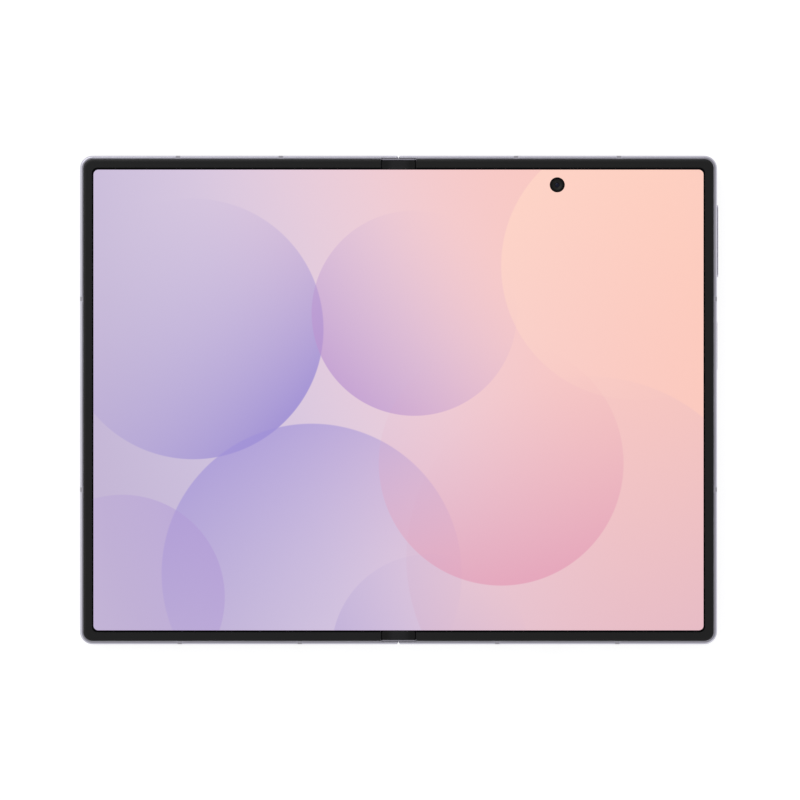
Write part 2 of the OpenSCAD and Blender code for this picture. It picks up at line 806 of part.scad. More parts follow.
module arm_screws(v) {
  drive_r = 0.35;
  shank_l = arm_top - seat_top + arm_screw_l - fit;
  both_modules() screw_places(v) difference() {
    union() {
      translate([0, 0, arm_top - arm_screw_head_t]) cylinder(r = arm_screw_head, h = arm_screw_head_t);
      translate([0, 0, seat_top - arm_screw_l]) cylinder(r = arm_screw_r - 0.01, h = shank_l);
    }
    translate([0, 0, arm_top - arm_screw_head_t / 2]) cylinder(r = drive_r, h = cut, $fn = 6);
  }
}

module main_rail_arms() {
  color([0.62, 0.62, 0.65]) rail_arms(main_rail_v);
}

module cover_rail_arms() {
  color([0.62, 0.62, 0.65]) cover_side() rail_arms(cover_rail_v);
}

module main_arm_screws() {
  color([0.75, 0.75, 0.78]) arm_screws(main_rail_v);
}

module cover_arm_screws() {
  color([0.75, 0.75, 0.78]) cover_side() arm_screws(cover_rail_v);
}

// A gear outline: each tooth narrows from root to tip, with play on both sides
module gear_outline(phase) {
  circle(root_r);
  for (i = [0:gear_teeth - 1]) rotate(phase + i * tooth) polygon([
    [root_r * 0.8, -pitch_r * sin(tooth * 0.3)], [pitch_r * 0.97, -pitch_r * sin(tooth * 0.195)],
    [tip_r, -pitch_r * sin(tooth * 0.085)], [tip_r, pitch_r * sin(tooth * 0.085)],
    [pitch_r * 0.97, pitch_r * sin(tooth * 0.195)], [root_r * 0.8, pitch_r * sin(tooth * 0.3)]
  ]);
}

module idlers(x, phase) {
  both_modules() along_y(gear_v) translate([x, idler_z]) difference() {
    gear_outline(phase);
    circle(bore_r);
  }
}

module main_idlers() {
  color([0.7, 0.62, 0.42]) idlers(pitch_r, main_idler_phase);
}

module cover_idlers() {
  color([0.7, 0.62, 0.42]) idlers(-pitch_r, cover_idler_phase);
}

module idler_shafts() {
  color([0.7, 0.7, 0.72]) both_modules() for (s = [-1, 1])
    along_y([-shaft_half, idler_shaft_end]) translate([s * pitch_r, idler_z]) circle(shaft_r - 0.01);
}

// Arm of a timing gear: over the spine's edge and down to its pin
module timing_arm_section() {
  arm_low = spine_top + 0.1;
  arm_high = web_top - 0.1;
  foot_low = pin_z - pin_r - 0.1;
  foot_x = pin_x + pin_r + 0.15;
  polygon([
    [timing_x, timing_z - root_r * 0.6], [timing_x + root_r, timing_z + 0.1],
    [timing_x + root_r + 0.35, arm_low], [pin_x - 0.9, arm_low], [pin_x - 0.7, foot_low], [foot_x, foot_low],
    [foot_x, arm_high], [timing_x + root_r * 0.6, arm_high], [timing_x, timing_z + root_r * 0.9]
  ]);
}

module timing_arms(phase) {
  both_modules() {
    along_y(gear_v) difference() {
      union() {
        translate([timing_x, timing_z]) gear_outline(phase);
        timing_arm_section();
      }
      translate([timing_x, timing_z]) circle(shaft_r);
    }
    along_y([gear_v[0] - slot_depth, gear_v[1] + slot_depth]) translate([pin_x, pin_z]) circle(pin_r);
  }
}

module main_timing_arms() {
  color([0.7, 0.62, 0.42]) timing_arms(main_timing_phase);
}

module cover_timing_arms() {
  color([0.7, 0.62, 0.42]) cover_side() timing_arms(180 - cover_timing_phase);
}

// Shaft of a timing gear, with the detent cam that its yoke presses on
module timing_shafts() {
  notch_t = 0.25;
  notch_w = 0.4;
  both_modules() translate([timing_x, 0, timing_z]) {
    translate([0, shaft_half, 0]) rotate([90, 0, 0]) cylinder(r = shaft_r, h = 2 * shaft_half);
    translate([0, spring_v[0] + cam_l, 0]) rotate([90, 0, 0]) difference() {
      cylinder(r = spring_r, h = cam_l - 0.1);
      translate([-cut, -notch_w / 2, -cut]) cube([2 * cut, notch_w, notch_t + cut]);
    }
  }
}

module main_timing_shafts() {
  color([0.7, 0.7, 0.72]) timing_shafts();
}

module cover_timing_shafts() {
  color([0.7, 0.7, 0.72]) cover_side() timing_shafts();
}

module cam_yokes() {
  yoke_x = timing_x + spring_r;
  color([0.45, 0.45, 0.48]) both_modules() along_y([yoke_v, yoke_v + yoke_l]) difference() {
    translate([-yoke_x, timing_z - spring_r]) square([2 * yoke_x, spring_r + bore_r + yoke_wall]);
    for (s = [-1, 1]) translate([s * timing_x, timing_z]) circle(bore_r);
  }
}

// Coil springs round the timing shafts, which press the yokes onto the cams
function ring_centre(a, l) = let (r = spring_r - spring_wire)
  [r * cos(a), spring_wire + (l - 2 * spring_wire) * a / 360 / spring_turns, r * sin(a)];

module coil_spring(l) {
  steps = 8; // rings in a turn
  rings = spring_turns * steps;
  sides = 6;
  points = [for (i = [0:rings], k = [0:sides - 1]) let (
    a = 360 * i / steps,
    b = 360 * k / sides,
    r = spring_wire * cos(b)
  ) ring_centre(a, l) + [r * cos(a), spring_wire * sin(b), r * sin(a)]];
  walls = [for (i = [0:rings - 1], k = [0:sides - 1]) let (
    here = i * sides,
    next = here + sides,
    j = (k + 1) % sides
  ) each [[here + k, next + j, here + j], [here + k, next + k, next + j]]];
  last = rings * sides;
  ends = [for (k = [1:sides - 2]) each [[0, k, k + 1], [last, last + k + 1, last + k]]];
  polyhedron(points, concat(walls, ends));
}

module detent_springs() {
  start = yoke_v + yoke_l;
  color([0.8, 0.8, 0.82]) both_modules() for (s = [-1, 1])
    translate([s * timing_x, start, timing_z]) coil_spring(spring_v[1] - start);
}

// The flexible circuit that joins the two boards over the spine
module fold_flex() {
  color([0.75, 0.5, 0.2]) translate([-flex_end, flex_y - flex_w / 2, seat_top])
    cube([2 * flex_end, flex_w, flex_t]);
}

// ---------- cameras ----------

module island_plan(grow) {
  w = island_w / 2 + grow;
  translate([cam_x, cam_y - cam_pitch / 2]) square([2 * w, cam_pitch], center = true);
  for (i = [0, 1]) translate([cam_x, cam_y - i * cam_pitch]) circle(w);
}

module at_rear_cameras() {
  for (i = [0, 1]) translate([cam_x, cam_y - i * cam_pitch, 0]) children();
}

module camera_island() {
  color([0.76, 0.75, 0.81]) difference() {
    translate([0, 0, -island_h]) linear_extrude(island_h + glass_t) island_plan(0);
    at_rear_cameras() {
      translate([0, 0, -island_h - cut]) cylinder(r = ring_r - ring_wall, h = island_h + glass_t + 2 * cut);
      translate([0, 0, -island_h - cut]) cylinder(r = ring_r - ring_step, h = cut + ring_foot);
    }
  }
}

module camera_rings() {
  top = -island_h - ring_h;
  color([0.6, 0.59, 0.64]) at_rear_cameras() difference() {
    union() {
      translate([0, 0, top]) cylinder(r = ring_r, h = ring_h);
      translate([0, 0, -island_h - bite]) cylinder(r = ring_r - ring_step - fit, h = ring_foot + bite);
    }
    translate([0, 0, top - cut]) cylinder(r = ring_r - ring_wall - ring_lip, h = body_t);
    translate([0, 0, top - cut]) cylinder(r = ring_r - ring_wall, h = cut + window_t + window_sink);
  }
}

module camera_windows() {
  color([0.05, 0.05, 0.07]) at_rear_cameras()
    translate([0, 0, -island_h - ring_h + window_sink]) cylinder(r = ring_r - ring_wall - 0.02, h = window_t);
}

module camera_modules() {
  lens_z = -island_h - ring_h + window_sink + window_t + 0.2;
  color([0.1, 0.1, 0.12]) at_rear_cameras() {
    translate([-cam_box / 2, -cam_box / 2, low_z]) cube([cam_box, cam_box, cam_top - low_z]);
    difference() {
      translate([0, 0, lens_z]) cylinder(r = ring_r - ring_wall - ring_lip - 0.1, h = low_z - lens_z + bite);
      translate([0, 0, lens_z - cut]) cylinder(r = barrel_r, h = cut + 0.4);
    }
  }
}

module flash_window() {
  color([0.95, 0.93, 0.85]) translate([flash_x, flash_y, 0]) cylinder(r = flash_r, h = glass_t + flash_depth);
}

module inner_camera() {
  color([0.06, 0.06, 0.07]) translate([punch_x, punch_y, low_z]) {
    translate([-small_cam_box / 2, -small_cam_box / 2, 0])
      cube([small_cam_box, small_cam_box, cam_top - low_z]);
    cylinder(r = punch_r - lens_gap, h = lens_top - low_z);
  }
}

module cover_camera() {
  color([0.06, 0.06, 0.07]) cover_side() translate([punch_x, cover_cam_y, 0]) {
    translate([-small_cam_box / 2, -small_cam_box / 2, cover_low_z])
      cube([small_cam_box, small_cam_box, cam_top - cover_low_z]);
    translate([0, 0, glass_seat]) cylinder(r = punch_r - lens_gap, h = cover_low_z - glass_seat + bite);
  }
}

// ---------- inside the main half ----------

module slab(x, y, z) {
  translate([x[0], y[0], z[0]]) cube([x[1] - x[0], y[1] - y[0], z[1] - z[0]]);
}

// Room in a board for a small camera, open to the end of the phone
module small_cam_room(y) {
  w = small_cam_box / 2 + board_gap;
  translate([punch_x - w, y - w, 0]) cube([2 * w, half_h, body_t]);
}

module main_board() {
  w = cam_box / 2 + board_gap;
  color([0.05, 0.3, 0.2]) difference() {
    slab([inside_x, inside_end], board_y, [board_z, board_z + board_t]);
    translate([cam_x - w, cam_y - cam_pitch - w, 0]) cube([2 * w, cam_pitch + 2 * w, body_t]);
    small_cam_room(punch_y);
  }
}

// Lids over the chips on the board
module board_shields() {
  lid_z = [low_z + board_gap, board_z];
  y0 = board_y[0] + lid_gap;
  x1 = inside_x + lid_gap + lid_w;
  color([0.7, 0.7, 0.72]) {
    slab([inside_x + lid_gap, x1], [y0, board_y[1] - lid_gap], lid_z);
    slab([x1 + lid_gap, flash_x - flash_r - lid_gap], [y0, punch_y - small_cam_box / 2 - lid_gap], lid_z);
  }
}

module main_battery() {
  color([0.2, 0.2, 0.22]) slab([inside_x, inside_end], battery_y, [low_z + coil_t + fit, web_z - fit]);
}

module charging_coil() {
  coil_y = (battery_y[0] + battery_y[1]) / 2;
  color([0.72, 0.42, 0.2]) translate([half_w / 2 + coil_shift, coil_y, low_z]) difference() {
    cylinder(r = coil_r, h = coil_t);
    translate([0, 0, -cut]) cylinder(r = coil_bore, h = coil_t + 2 * cut);
  }
}

// Section of the charging socket, seen along the fold
module port_stadium(w, h) {
  square([w - h, h], center = true);
  for (s = [-1, 1]) translate([s * (w - h) / 2, 0]) circle(h / 2);
}

module port_shell() {
  front = -half_h + port_inset;
  color([0.6, 0.6, 0.62]) along_y([front, front + port_l]) translate([port_x, port_z]) difference() {
    port_stadium(port_w, port_h);
    port_stadium(port_w - 2 * port_wall, port_h - 2 * port_wall);
  }
}

// The tongue in the socket, on the block that closes its inner end
module port_tongue() {
  tongue_w = 6.7;
  tongue_t = 0.7;
  tongue_sink = 0.7; // behind the socket's mouth
  block_l = 1.4;
  back = -half_h + port_inset + port_l;
  color([0.08, 0.08, 0.09]) {
    along_y([-half_h + port_inset + tongue_sink, back - bite])
      translate([port_x - tongue_w / 2, port_z - tongue_t / 2]) square([tongue_w, tongue_t]);
    along_y([back - block_l, back]) translate([port_x, port_z])
      port_stadium(port_w - 2 * port_wall - 0.02, port_h - 2 * port_wall - 0.02);
  }
}

module bottom_board() {
  color([0.05, 0.3, 0.2]) slab([speaker_x + speaker_w / 2 + bottom_gap, haptic_x - bottom_gap],
    [-half_h + port_inset + port_l + air, battery_y[0] - bottom_gap], [board_z, board_z + board_t]);
}

module loudspeaker() {
  color([0.15, 0.15, 0.17]) slab([speaker_x - speaker_w / 2, speaker_x + speaker_w / 2],
    [-half_h + rail_wall + flange_w + air, battery_y[0] - bottom_gap], [low_z, web_z - fit]);
}

module haptic_motor() {
  y1 = battery_y[0] - bottom_gap;
  color([0.65, 0.65, 0.68])
    slab([haptic_x, haptic_x + haptic_w], [y1 - haptic_l, y1], [low_z, web_z - fit]);
}

// Magnets that hold the two halves together when closed
module magnets(floor_z) {
  x1 = half_w - magnet_inset;
  for (i = magnet_low) translate([0, i - half_h, 0])
    slab([x1 - magnet_w, x1], [-magnet_l / 2, magnet_l / 2], [floor_z, web_z - fit]);
}

module main_magnets() {
  color([0.55, 0.55, 0.57]) magnets(glass_seat + flange_t + fit);
}

module cover_magnets() {
  color([0.55, 0.55, 0.57]) cover_side() magnets(max(cover_floor, glass_seat + flange_t + fit));
}

// Dome switches behind the keys, on one carrier: two for volume and one for the side key
module key_switches() {
  volume_y = half_h - volume_inset;
  side_y = half_h - side_inset;
  switch_x = half_w - rail_wall - key_travel - key_flange - key_travel - fit;
  color([0.75, 0.75, 0.78]) {
    for (y = [volume_y - volume_l / 4, volume_y + volume_l / 4, side_y])
      slab([switch_x - switch_t, switch_x], [y - switch_half, y + switch_half],
        [key_z - switch_w / 2, key_z + switch_w / 2]);
    slab([switch_x - switch_t - switch_strip_t, switch_x - switch_t],
      [side_y - 2 * switch_half, volume_y + volume_l / 2],
      [key_z - switch_strip_w / 2, key_z + switch_strip_w / 2]);
  }
}

// ---------- keys and tray ----------

// A key: a rounded bar through the rail, with a wider flange behind the rail
module key_bar(inset, l, proud, flange_gap) {
  face = half_w + proud;
  back = half_w - rail_wall - flange_gap;
  round_w = key_w * 0.45;
  step = 2 * key_round;
  translate([0, half_h - inset, key_z]) rotate([90, 0, 90]) {
    translate([0, 0, back - bite]) rounded_box([l, key_w, face - back + bite - key_round], round_w);
    translate([0, 0, back]) rounded_box([l - step, key_w - step, face - back], round_w - key_round);
    translate([0, 0, back - key_flange])
      rounded_box([l + 8 * key_rim, key_w + 2 * key_rim, key_flange], round_w);
  }
}

// The volume key rocks about its middle, so its flange stands off the rail by its travel
module volume_key() {
  color([0.7, 0.69, 0.76]) key_bar(volume_inset, volume_l, volume_proud, key_travel);
}

module side_key() {
  color([0.7, 0.69, 0.76]) key_bar(side_inset, side_l, side_proud, 0);
}

module card_tray() {
  face_t = rail_wall - fit;
  rim = 1.1; // solid edge round the card's place
  blade_w = tray_w - 2.4;
  blade_end = -half_h + tray_l;
  color([0.72, 0.71, 0.78]) difference() {
    union() {
      translate([tray_x, -half_h + face_t, key_z]) rotate([90, 0, 0])
        rounded_box([tray_w, tray_h, face_t], tray_h * 0.45);
      slab([tray_x - blade_w / 2, tray_x + blade_w / 2], [-half_h + face_t - bite, blade_end],
        [key_z - tray_blade / 2, key_z + tray_blade / 2]);
    }
    slab([tray_x - blade_w / 2 + rim, tray_x + blade_w / 2 - rim], [-half_h + face_t + 1.5, blade_end - rim],
      [key_z - tray_blade / 4, key_z + tray_blade]);
    translate([tray_x + tray_w / 2 - 1.6, -half_h - cut, key_z]) rotate([-90, 0, 0])
      cylinder(r = 0.4, h = rail_wall + cut);
  }
}

// The metal shell that the tray slides into
module card_reader() {
  y0 = -half_h + rail_wall + flange_w + air;
  y1 = -half_h + tray_l + reader_gap + air;
  room = tray_blade / 2 + 2 * fit;
  outer = room + reader_t;
  color([0.68, 0.68, 0.7]) difference() {
    slab([reader_x, 2 * tray_x - reader_x], [y0, y1], [key_z - outer, key_z + outer]);
    slab([reader_x + reader_t, 2 * tray_x - reader_x - reader_t], [y0 - cut, y1 - reader_t],
      [key_z - room, key_z + room]);
  }
}

// ---------- inside the cover half ----------

module cover_battery() {
  color([0.2, 0.2, 0.22]) cover_side()
    slab([inside_x, inside_end], cover_battery_y, [cover_low_z, web_z - fit]);
}

module cover_board() {
  color([0.05, 0.3, 0.2]) cover_side() difference() {
    slab([inside_x, inside_end], cover_board_y, [board_z, board_z + board_t]);
    small_cam_room(cover_cam_y);
  }
}

module earpiece() {
  y1 = half_h - rail_wall - flange_w - air;
  color([0.15, 0.15, 0.17]) cover_side() slab([earpiece_x - earpiece_w / 2, earpiece_x + earpiece_w / 2],
    [y1 - earpiece_l, y1], [cover_low_z, board_z - fit]);
}

// ---------- nodes ----------

on_table() main_frame();
on_table() main_antenna_breaks();
on_table() rear_glass();
on_table() main_screen_rim();
on_table() inner_screen_main();
on_table() main_wing_plate();
on_table() main_rail_arms();
on_table() main_arm_screws();
on_table() camera_island();
on_table() camera_rings();
on_table() camera_windows();
on_table() camera_modules();
on_table() flash_window();
on_table() inner_camera();
on_table() main_board();
on_table() board_shields();
on_table() main_battery();
on_table() charging_coil();
on_table() port_shell();
on_table() port_tongue();
on_table() bottom_board();
on_table() loudspeaker();
on_table() haptic_motor();
on_table() key_switches();
on_table() main_magnets();
on_table() volume_key();
on_table() side_key();
on_table() card_tray();
on_table() card_reader();
on_table() cover_frame();
on_table() cover_antenna_breaks();
on_table() cover_glass();
on_table() cover_panel();
on_table() cover_screen_rim();
on_table() inner_screen_cover();
on_table() cover_wing_plate();
on_table() cover_rail_arms();
on_table() cover_arm_screws();
on_table() cover_camera();
on_table() cover_battery();
on_table() cover_board();
on_table() earpiece();
on_table() cover_magnets();
on_table() spine_shell();
on_table() hinge_bases();
on_table() spine_caps();
on_table() idler_shafts();
on_table() cam_yokes();
on_table() detent_springs();
on_table() inner_screen_fold();
on_table() fold_flex();
on_table() main_timing_arms();
on_table() main_timing_shafts();
on_table() cover_timing_arms();
on_table() cover_timing_shafts();
on_table() main_idlers();
on_table() cover_idlers();
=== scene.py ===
import math

import bmesh
import bpy
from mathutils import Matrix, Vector
from mathutils.geometry import delaunay_2d_cdt


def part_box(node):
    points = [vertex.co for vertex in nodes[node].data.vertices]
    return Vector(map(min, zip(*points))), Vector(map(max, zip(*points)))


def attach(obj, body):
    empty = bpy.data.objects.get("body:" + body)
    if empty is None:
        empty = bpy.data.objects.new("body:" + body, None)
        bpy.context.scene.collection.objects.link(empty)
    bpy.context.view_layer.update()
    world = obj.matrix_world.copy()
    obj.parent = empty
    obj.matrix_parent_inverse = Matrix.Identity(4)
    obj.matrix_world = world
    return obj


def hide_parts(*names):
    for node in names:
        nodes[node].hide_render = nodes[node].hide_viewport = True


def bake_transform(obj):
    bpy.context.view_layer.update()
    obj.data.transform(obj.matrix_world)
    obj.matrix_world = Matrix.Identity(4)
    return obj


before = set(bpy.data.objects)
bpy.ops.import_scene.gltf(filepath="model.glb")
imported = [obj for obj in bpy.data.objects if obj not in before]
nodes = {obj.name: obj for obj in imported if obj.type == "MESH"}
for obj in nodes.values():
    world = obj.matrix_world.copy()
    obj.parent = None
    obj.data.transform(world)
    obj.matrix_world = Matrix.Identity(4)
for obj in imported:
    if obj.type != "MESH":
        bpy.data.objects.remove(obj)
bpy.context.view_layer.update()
scene = bpy.context.scene

# ---------- the photograph's view ----------
# Straight down on the open screen from far off, with the top of the phone at the top of the picture.
# The phone's middle lies a pixel and a half left of the picture's middle.

view_lens = 200
view_sensor = 36
view_span = 0.2027  # what the picture spans at the height of the rails
rail_height = 0.0062
view_shift_x = 0.00038

camera_data = bpy.data.cameras.new("camera")
camera_data.lens = view_lens
camera_data.sensor_width = view_sensor
camera_data.clip_start = 0.01
camera_data.clip_end = 20
camera = bpy.data.objects.new("camera", camera_data)
camera.location = (view_shift_x, 0, rail_height + view_span * view_lens / view_sensor)
scene.collection.objects.link(camera)
scene.camera = camera

# ---------- studio ----------
# A white floor that keeps the phone's soft shadow, a white surround that darkens overhead and a little
# to the lower right, and large soft lamps: the main one above and to the left in the picture.


def wires(tree, *pairs):
    """Joins sockets of a node tree, each pair as (from, to)."""
    for start, end in pairs:
        tree.links.new(start, end)


def seen_rays(tree):
    """1 for rays from the camera, a mirror or glass, and 0 for the light that falls on things."""
    path = tree.nodes.new("ShaderNodeLightPath")
    both = tree.nodes.new("ShaderNodeMath")
    both.operation = "MAXIMUM"
    every = tree.nodes.new("ShaderNodeMath")
    every.operation = "MAXIMUM"
    wires(
        tree,
        (path.outputs["Is Camera Ray"], both.inputs[0]),
        (path.outputs["Is Glossy Ray"], both.inputs[1]),
        (both.outputs[0], every.inputs[0]),
        (path.outputs["Is Transmission Ray"], every.inputs[1]),
    )
    return every.outputs[0]


scene.view_settings.view_transform = "Standard"

floor_radius = 6
floor_sides = 64
floor_grey = 0.4
floor_glow = 0.77  # adds to the floor's own light up to white
floor_mesh = bpy.data.meshes.new("floor")
floor_bm = bmesh.new()
bmesh.ops.create_circle(floor_bm, cap_ends=True, radius=floor_radius, segments=floor_sides)
floor_bm.to_mesh(floor_mesh)
floor_bm.free()
floor = bpy.data.objects.new("floor", floor_mesh)
scene.collection.objects.link(floor)
floor_paint = bpy.data.materials.new("floor_paint")
floor_paint.use_nodes = True
tree = floor_paint.node_tree
matt = tree.nodes["Principled BSDF"]
matt.inputs["Base Color"].default_value = (floor_grey, floor_grey, floor_grey, 1)
matt.inputs["Roughness"].default_value = 1
matt.inputs["Specular IOR Level"].default_value = 0
glow = tree.nodes.new("ShaderNodeEmission")
glow_level = tree.nodes.new("ShaderNodeMath")
glow_level.operation = "MULTIPLY"
glow_level.inputs[1].default_value = floor_glow
layered = tree.nodes.new("ShaderNodeAddShader")
wires(
    tree,
    (seen_rays(tree), glow_level.inputs[0]),
    (glow_level.outputs[0], glow.inputs["Strength"]),
    (matt.outputs[0], layered.inputs[0]),
    (glow.outputs[0], layered.inputs[1]),
    (layered.outputs[0], tree.nodes["Material Output"].inputs["Surface"]),
)
floor_mesh.materials.append(floor_paint)

dark_way = (0.09, -0.09, 0.99)  # towards the darkest part of the surround
dark_begin, dark_full = 0.4, 0.95  # where the dark begins and is full, as cosines from that way
dark_level = 0.38
ambient_level = 0.6  # of the light that falls on things

surround = bpy.data.worlds.new("surround")
surround.use_nodes = True
scene.world = surround
tree = surround.node_tree
shine = tree.nodes["Background"]
shine.inputs["Color"].default_value = (1, 1, 1, 1)
where = tree.nodes.new("ShaderNodeTexCoord")
height = tree.nodes.new("ShaderNodeVectorMath")
height.operation = "DOT_PRODUCT"
height.inputs[1].default_value = dark_way
overhead = tree.nodes.new("ShaderNodeMapRange")
overhead.inputs["From Min"].default_value = dark_begin
overhead.inputs["From Max"].default_value = dark_full
overhead.inputs["To Min"].default_value = 1.0
overhead.inputs["To Max"].default_value = dark_level
ambient = tree.nodes.new("ShaderNodeMix")
ambient.inputs["A"].default_value = ambient_level
wires(
    tree,
    (where.outputs["Generated"], height.inputs[0]),
    (height.outputs["Value"], overhead.inputs["Value"]),
    (overhead.outputs[0], ambient.inputs["B"]),
    (seen_rays(tree), ambient.inputs["Factor"]),
    (ambient.outputs[0], shine.inputs["Strength"]),
)

for name, place, size, power in (
    ("lamp_main", (-1.1, 1.55, 1.6), 2.2, 17),
    ("lamp_left", (-2.2, -0.3, 1.3), 1.6, 5),
    ("lamp_front", (1.2, -2.0, 1.4), 1.8, 5),
):
    lamp_data = bpy.data.lights.new(name, "AREA")
    lamp_data.size = size
    lamp_data.energy = power
    lamp = bpy.data.objects.new(name, lamp_data)
    lamp.location = place
    lamp.rotation_euler = (-Vector(place)).to_track_quat("-Z", "Y").to_euler()
    scene.collection.objects.link(lamp)

# ---------- metal frames ----------
# One for each half: aluminium, milled from the solid, blasted with fine beads and anodised a pale
# lavender silver. Their edges are painted a little lighter than the faces, as edge wear and a painted
# highlight, and shade is painted on them in the gaps beside the end caps of the fold.


def tone(red, green, blue):
    """A colour in screen values, 0 to 255, as the linear colour of a shader."""
    linear = [((c / 255 + 0.055) / 1.055) ** 2.4 if c > 10 else c / 3294.6 for c in (red, green, blue)]
    return (*linear, 1.0)


def group_sockets(group, ins, outs):
    """Gives a node group its sockets, and returns its inside ends: what it takes and what it gives."""
    for name, kind, value in ins:
        socket = group.interface.new_socket(name, in_out="INPUT", socket_type="NodeSocket" + kind)
        socket.default_value = value
    for name, kind in outs:
        group.interface.new_socket(name, in_out="OUTPUT", socket_type="NodeSocket" + kind)
    return group.nodes.new("NodeGroupInput").outputs, group.nodes.new("NodeGroupOutput").inputs


# Fine grain, coarser clouds of it, and the height for a bump
surface_grain = bpy.data.node_groups.new("surface_grain", "ShaderNodeTree")
take, give = group_sockets(
    surface_grain,
    [("Stretch", "Vector", (1, 1, 1)), ("Grains", "Float", 5000.0), ("Clouds", "Float", 60.0)],
    [("Grain", "Float"), ("Cloud", "Float"), ("Height", "Float")],
)
where = surface_grain.nodes.new("ShaderNodeTexCoord")
pulled = surface_grain.nodes.new("ShaderNodeVectorMath")
pulled.operation = "MULTIPLY"
fine = surface_grain.nodes.new("ShaderNodeTexNoise")
fine.inputs["Detail"].default_value = 3
broad = surface_grain.nodes.new("ShaderNodeTexNoise")
broad.inputs["Detail"].default_value = 2
wires(
    surface_grain,
    (where.outputs["Object"], pulled.inputs[0]),
    (take["Stretch"], pulled.inputs[1]),
    (pulled.outputs[0], fine.inputs["Vector"]),
    (take["Grains"], fine.inputs["Scale"]),
    (pulled.outputs[0], broad.inputs["Vector"]),
    (take["Clouds"], broad.inputs["Scale"]),
    (fine.outputs[0], give["Grain"]),
    (broad.outputs[0], give["Cloud"]),
    (fine.outputs[0], give["Height"]),
)

# Where a solid's edges are: 1 on an edge, 0 away from it, and a normal that rounds it
worn_and_highlit_edges = bpy.data.node_groups.new("worn_and_highlit_edges", "ShaderNodeTree")
take, give = group_sockets(
    worn_and_highlit_edges, [("Width", "Float", 0.00012)], [("Mask", "Float"), ("Normal", "Vector")]
)
rounding = worn_and_highlit_edges.nodes.new("ShaderNodeBevel")
rounding.samples = 4
face = worn_and_highlit_edges.nodes.new("ShaderNodeNewGeometry")
turn = worn_and_highlit_edges.nodes.new("ShaderNodeVectorMath")
turn.operation = "DOT_PRODUCT"
off_face = worn_and_highlit_edges.nodes.new("ShaderNodeMapRange")
off_face.inputs["From Min"].default_value = 1.0
off_face.inputs["From Max"].default_value = 0.8
wires(
    worn_and_highlit_edges,
    (take["Width"], rounding.inputs["Radius"]),
    (rounding.outputs[0], turn.inputs[0]),
    (face.outputs["Normal"], turn.inputs[1]),
    (turn.outputs["Value"], off_face.inputs["Value"]),
    (off_face.outputs[0], give["Mask"]),
    (rounding.outputs[0], give["Normal"]),
)

# 1 in a box about the fold: within a half width and half length of its middle and above a height
beside_fold = bpy.data.node_groups.new("beside_fold", "ShaderNodeTree")
take, give = group_sockets(
    beside_fold,
    [("Half Width", "Float", 0.0048), ("Half Length", "Float", 0.0607), ("Above", "Float", 0.005)],
    [("Mask", "Float")],
)
where = beside_fold.nodes.new("ShaderNodeTexCoord")
away = beside_fold.nodes.new("ShaderNodeVectorMath")
away.operation = "ABSOLUTE"
axes = beside_fold.nodes.new("ShaderNodeSeparateXYZ")
wires(beside_fold, (where.outputs["Object"], away.inputs[0]), (away.outputs[0], axes.inputs[0]))
checks = []
for axis, limit, test in (
    ("X", "Half Width", "LESS_THAN"), ("Y", "Half Length", "LESS_THAN"), ("Z", "Above", "GREATER_THAN")
):
    check = beside_fold.nodes.new("ShaderNodeMath")
    check.operation = test
    wires(beside_fold, (axes.outputs[axis], check.inputs[0]), (take[limit], check.inputs[1]))
    checks.append(check.outputs[0])
while len(checks) > 1:
    both = beside_fold.nodes.new("ShaderNodeMath")
    both.operation = "MULTIPLY"
    wires(beside_fold, (checks.pop(), both.inputs[0]), (checks.pop(), both.inputs[1]))
    checks.append(both.outputs[0])
wires(beside_fold, (checks[0], give["Mask"]))


def paint_gap_shade(made, **limits):
    """Painted shade: a dark grey on the parts of a metal that lie in the gaps beside the end caps of the
    fold.
    """
    tree = made.node_tree
    shader = tree.nodes["Principled BSDF"]
    near = tree.nodes.new("ShaderNodeGroup")
    near.node_tree = beside_fold
    for name, limit in limits.items():
        near.inputs[name.replace("_", " ")].default_value = limit
    bare = shader.inputs["Base Color"].links[0].from_socket
    black = tree.nodes.new("ShaderNodeMix")
    black.data_type = "RGBA"
    black.inputs["B"].default_value = tone(56, 56, 60)
    wires(
        tree,
        (near.outputs["Mask"], black.inputs["Factor"]),
        (bare, black.inputs["A"]),
        (black.outputs[2], shader.inputs["Base Color"]),
    )


